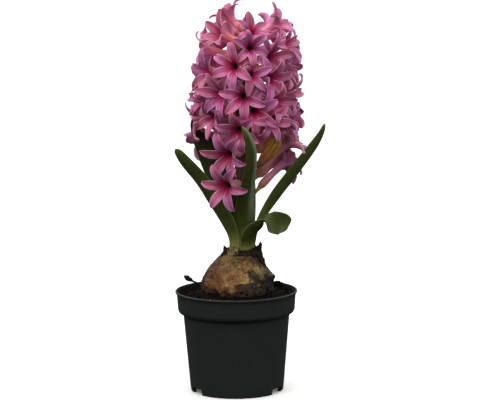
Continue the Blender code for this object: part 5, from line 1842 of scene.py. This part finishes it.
def lobe_body(start, along, out, generator):
    """A small dry petal end that curls away from a direction."""
    side = along.cross(out)
    curl = generator.uniform(0.7, 1.9)
    length = generator.uniform(4.0, 6.0) * MM
    place = start + out * 3.2 * MM
    top, bottom = [], []
    for row in range(LOBE_ROWS):
        share = row / (LOBE_ROWS - 1)
        lean = -0.35 + curl * share
        step = along * cos(lean) + out * sin(lean)
        place = place + step * length / LOBE_ROWS
        inner = along * sin(lean) - out * cos(lean)
        half = 1.6 * MM * sin(pi * min(0.25 + 0.7 * share, 0.97))
        for column in range(LOBE_COLUMNS):
            u = 2 * column / (LOBE_COLUMNS - 1) - 1
            crumple = 0.3 * MM * wavy(Vector((2 * u, 3 * share, curl * 9)), 0.8)
            centre = place + side * half * u + inner * (0.9 * MM * u * u + crumple)
            top.append(centre + inner * 0.16 * MM)
            bottom.append(centre - inner * 0.16 * MM)
    return sheet_body(top, bottom, LOBE_COLUMNS)


def build_twig(bark):
    line = smooth_line([Vector(point) * MM for point in TWIG_LINE], TWIG_ROWS)
    radii = smooth_line([(radius, radius) for radius in TWIG_RADII], TWIG_ROWS)
    rings = []
    for index, centre in enumerate(line):
        ring = ring_points(centre, direction(line, index), FRONT, radii[index][0] * MM, TWIG_SIDES)
        rings.append([point + (point - centre) * 0.3 * rough(point, 1.6 * MM, 6.0) for point in ring])
    add_piece("twig_wood", rings_to_body(rings), [bark], ["twig"])


# ---------------------------------------------------------------- studio


def soft_light(name, place, size, power, colour):
    """A round soft light aimed at the middle of the plant."""
    data = bpy.data.lights.new(name, "AREA")
    data.shape = "DISK"
    data.size = size
    data.energy = power
    data.color = colour
    light = bpy.data.objects.new(name, data)
    bpy.context.scene.collection.objects.link(light)
    light.location = place
    light.rotation_euler = (LIGHTS_AIM - light.location).to_track_quat("-Z", "Y").to_euler()


def stage_sheet(name, points, faces, paper):
    """A sheet of background paper. Diffuse and glossy rays pass through it, so it throws no bounce onto the
    plant and shows in no reflection. Black cards keep its bounce off the plant, so only the camera sees it.
    """
    mesh = bpy.data.meshes.new(name)
    mesh.from_pydata(points, [], faces)
    mesh.materials.append(paper)
    sheet = bpy.data.objects.new(name, mesh)
    bpy.context.scene.collection.objects.link(sheet)
    sheet.visible_diffuse = False
    sheet.visible_glossy = False
    return sheet


def build_stage(paper, wall_paper):
    half = FLOOR_SIZE / 2
    corners = [(-half, -half, 0.0), (half, -half, 0.0), (half, half, 0.0), (-half, half, 0.0)]
    stage_sheet("studio_floor", corners, [(0, 1, 2, 3)], paper)
    turns = [tau * side / WALL_SIDES for side in range(WALL_SIDES)]
    ring = [(WALL_RADIUS * cos(turn), WALL_RADIUS * sin(turn)) for turn in turns]
    rims = [(x, y, z) for z in (0.0, WALL_HEIGHT) for x, y in ring]
    panels = [
        (side, side + WALL_SIDES, (side + 1) % WALL_SIDES + WALL_SIDES, (side + 1) % WALL_SIDES)
        for side in range(WALL_SIDES)
    ]
    wall = stage_sheet("studio_wall", rims, panels, wall_paper)
    wall.visible_shadow = False
    wall.visible_transmission = False
    for light in LIGHTS:
        soft_light(*light)
    world = bpy.context.scene.world or bpy.data.worlds.new("studio")
    bpy.context.scene.world = world
    world.use_nodes = True
    place = add_node(world, "TexCoord").outputs["Generated"]
    height = add_node(world, "SeparateXYZ", {0: place}).outputs[2]
    share = add_node(world, "MapRange", {"From Min": -1.0, "From Max": 1.0, "Value": height})
    sky = add_node(world, "ValToRGB", {"stops": SKY_STOPS, 0: share})
    fill(world.node_tree.nodes["Background"], {"Color": sky, "Strength": WORLD_STRENGTH})
    bpy.context.scene.view_settings.view_transform = "Standard"

    pitch, roll = radians(CAMERA_PITCH), radians(CAMERA_ROLL)
    forward = Vector((0.0, cos(pitch), -sin(pitch)))
    right = forward.cross(UP).normalized()
    above = right.cross(forward)
    tilted_right = right * cos(roll) + above * sin(roll)
    tilted_above = above * cos(roll) - right * sin(roll)
    lens = bpy.data.cameras.new("camera")
    lens.lens = CAMERA_LENS
    lens.sensor_width = 36.0
    lens.clip_end = 100.0
    camera = bpy.data.objects.new("camera", lens)
    turn = Matrix((tilted_right, tilted_above, -forward)).transposed().to_4x4()
    camera.matrix_world = Matrix.Translation(Vector(CAMERA_PLACE)) @ turn
    bpy.context.scene.collection.objects.link(camera)
    bpy.context.scene.camera = camera


# ---------------------------------------------------------------- the add-on


def colour_property(name, hex_code, description):
    given = {"name": name, "description": description, "default": linear(hex_code)}
    return FloatVectorProperty(subtype="COLOR", size=3, min=0.0, max=1.0, **given)


class HyacinthSettings(bpy.types.PropertyGroup):
    """What a user can change: a few sizes, and the colours."""

    petal_width: FloatProperty(
        name="Petal width",
        description="Width of a full-sized petal at its broadest",
        default=7.3 * MM,
        min=4 * MM,
        max=9 * MM,
        unit="LENGTH",
    )
    petal_hook: FloatProperty(
        name="Petal hook",
        description="How much further a petal's tip turns back than the petal does",
        default=radians(40),
        min=0.0,
        max=radians(120),
        subtype="ANGLE",
    )
    leaf_thickness: FloatProperty(
        name="Leaf thickness",
        description="Thickness of a leaf in the middle of its blade",
        default=1.5 * MM,
        min=0.8 * MM,
        max=3 * MM,
        unit="LENGTH",
    )
    petal_colour: colour_property("Petal", "ca719e", "The petals' blades")
    edge_colour: colour_property("Petal edge", "ebb6d2", "The petals' margins")
    stripe_colour: colour_property("Petal stripe", "b03c72", "The stripe down each petal and the tubes")
    throat_colour: colour_property("Throat", "a81450", "The inside of the tubes")
    leaf_colour: colour_property("Leaf", "485420", "The leaves' blades")
    leaf_foot_colour: colour_property("Leaf foot", "8a8c44", "The leaves where they leave the bulb")
    stem_colour: colour_property("Stem", "3a4424", "The flower stem")
    bulb_colour: colour_property("Bulb skin", "765b38", "The dry skin of the bulb")
    soil_colour: colour_property("Soil", "0c0705", "The peat")
    pot_colour: colour_property("Pot", "292c2b", "The plastic of the pot")
    backdrop_colour: colour_property("Backdrop", "f4f4f2", "The paper that the pot stands on")


Look = namedtuple("Look", "width hook")


class HYACINTH_OT_stage(bpy.types.Operator):
    """Add the studio: paper floor, soft lights and camera"""

    bl_idname = "hyacinth.stage"
    bl_label = "Studio"

    def execute(self, context):
        colour = context.scene.hyacinth.backdrop_colour
        paper = studio_paper("studio_paper", colour, FLOOR_GLOW)
        build_stage(paper, studio_paper("studio_wall_paper", colour, WALL_GLOW))
        return {"FINISHED"}


class HYACINTH_OT_pot(bpy.types.Operator):
    """Add the nursery pot"""

    bl_idname = "hyacinth.pot"
    bl_label = "Pot"

    def execute(self, context):
        build_pot(moulded_polypropylene(context.scene.hyacinth.pot_colour))
        return {"FINISHED"}


class HYACINTH_OT_soil(bpy.types.Operator):
    """Add the soil with its crumbs, and the twig that lies on it"""

    bl_idname = "hyacinth.soil"
    bl_label = "Soil and twig"

    def execute(self, context):
        build_soil(moist_peat(context.scene.hyacinth.soil_colour), pale_grit())
        build_twig(twig_bark())
        return {"FINISHED"}


class HYACINTH_OT_bulb(bpy.types.Operator):
    """Add the bulb and the scraps of old skin round its neck"""

    bl_idname = "hyacinth.bulb"
    bl_label = "Bulb"

    def execute(self, context):
        build_bulb(dry_bulb_tunic(context.scene.hyacinth.bulb_colour))
        dark = old_tunic_scrap("rotted_tunic", "130d09", "3a2a1e")
        pale = old_tunic_scrap("papery_tunic", "423420", "b8a67c")
        build_scraps(dark, pale)
        return {"FINISHED"}


class HYACINTH_OT_leaves(bpy.types.Operator):
    """Add the six leaves"""

    bl_idname = "hyacinth.leaves"
    bl_label = "Leaves"

    def execute(self, context):
        chosen = context.scene.hyacinth
        build_leaves(waxy_leaf(chosen.leaf_colour, chosen.leaf_foot_colour), chosen.leaf_thickness)
        return {"FINISHED"}


class HYACINTH_OT_stem(bpy.types.Operator):
    """Add the flower stem and the bud that ends it"""

    bl_idname = "hyacinth.stem"
    bl_label = "Stem and bud"

    def execute(self, context):
        build_stem(fleshy_stem(context.scene.hyacinth.stem_colour))
        build_bud(green_bud())
        return {"FINISHED"}


class HYACINTH_OT_florets(bpy.types.Operator):
    """Add the open florets and the withered one"""

    bl_idname = "hyacinth.florets"
    bl_label = "Florets"

    def execute(self, context):
        chosen = context.scene.hyacinth
        skin = hyacinth_petal(
            chosen.petal_colour, chosen.edge_colour, chosen.stripe_colour, chosen.throat_colour
        )
        build_florets(skin, anther_in_painted_shade(), Look(chosen.petal_width, chosen.petal_hook))
        build_withered(withered_petal())
        return {"FINISHED"}


class HYACINTH_PT_panel(bpy.types.Panel):
    """The hyacinth's settings and pieces in the 3D view's sidebar"""

    bl_idname = "HYACINTH_PT_panel"
    bl_label = "Potted Hyacinth"
    bl_space_type = "VIEW_3D"
    bl_region_type = "UI"
    bl_category = "Hyacinth"

    def draw(self, context):
        for name in HyacinthSettings.__annotations__:
            self.layout.prop(context.scene.hyacinth, name)
        for operator in OPERATORS:
            self.layout.operator(operator.bl_idname)


OPERATORS = (
    HYACINTH_OT_stage,
    HYACINTH_OT_pot,
    HYACINTH_OT_soil,
    HYACINTH_OT_bulb,
    HYACINTH_OT_stem,
    HYACINTH_OT_leaves,
    HYACINTH_OT_florets,
)
CLASSES = (HyacinthSettings, *OPERATORS, HYACINTH_PT_panel)


def register():
    for each in CLASSES:
        bpy.utils.register_class(each)
    bpy.types.Scene.hyacinth = PointerProperty(type=HyacinthSettings)


def unregister():
    del bpy.types.Scene.hyacinth
    for each in reversed(CLASSES):
        bpy.utils.unregister_class(each)


def main():
    register()
    bpy.ops.hyacinth.stage()
    bpy.ops.hyacinth.pot()
    bpy.ops.hyacinth.soil()
    bpy.ops.hyacinth.bulb()
    bpy.ops.hyacinth.stem()
    bpy.ops.hyacinth.leaves()
    bpy.ops.hyacinth.florets()


if __name__ == "__main__":
    main()
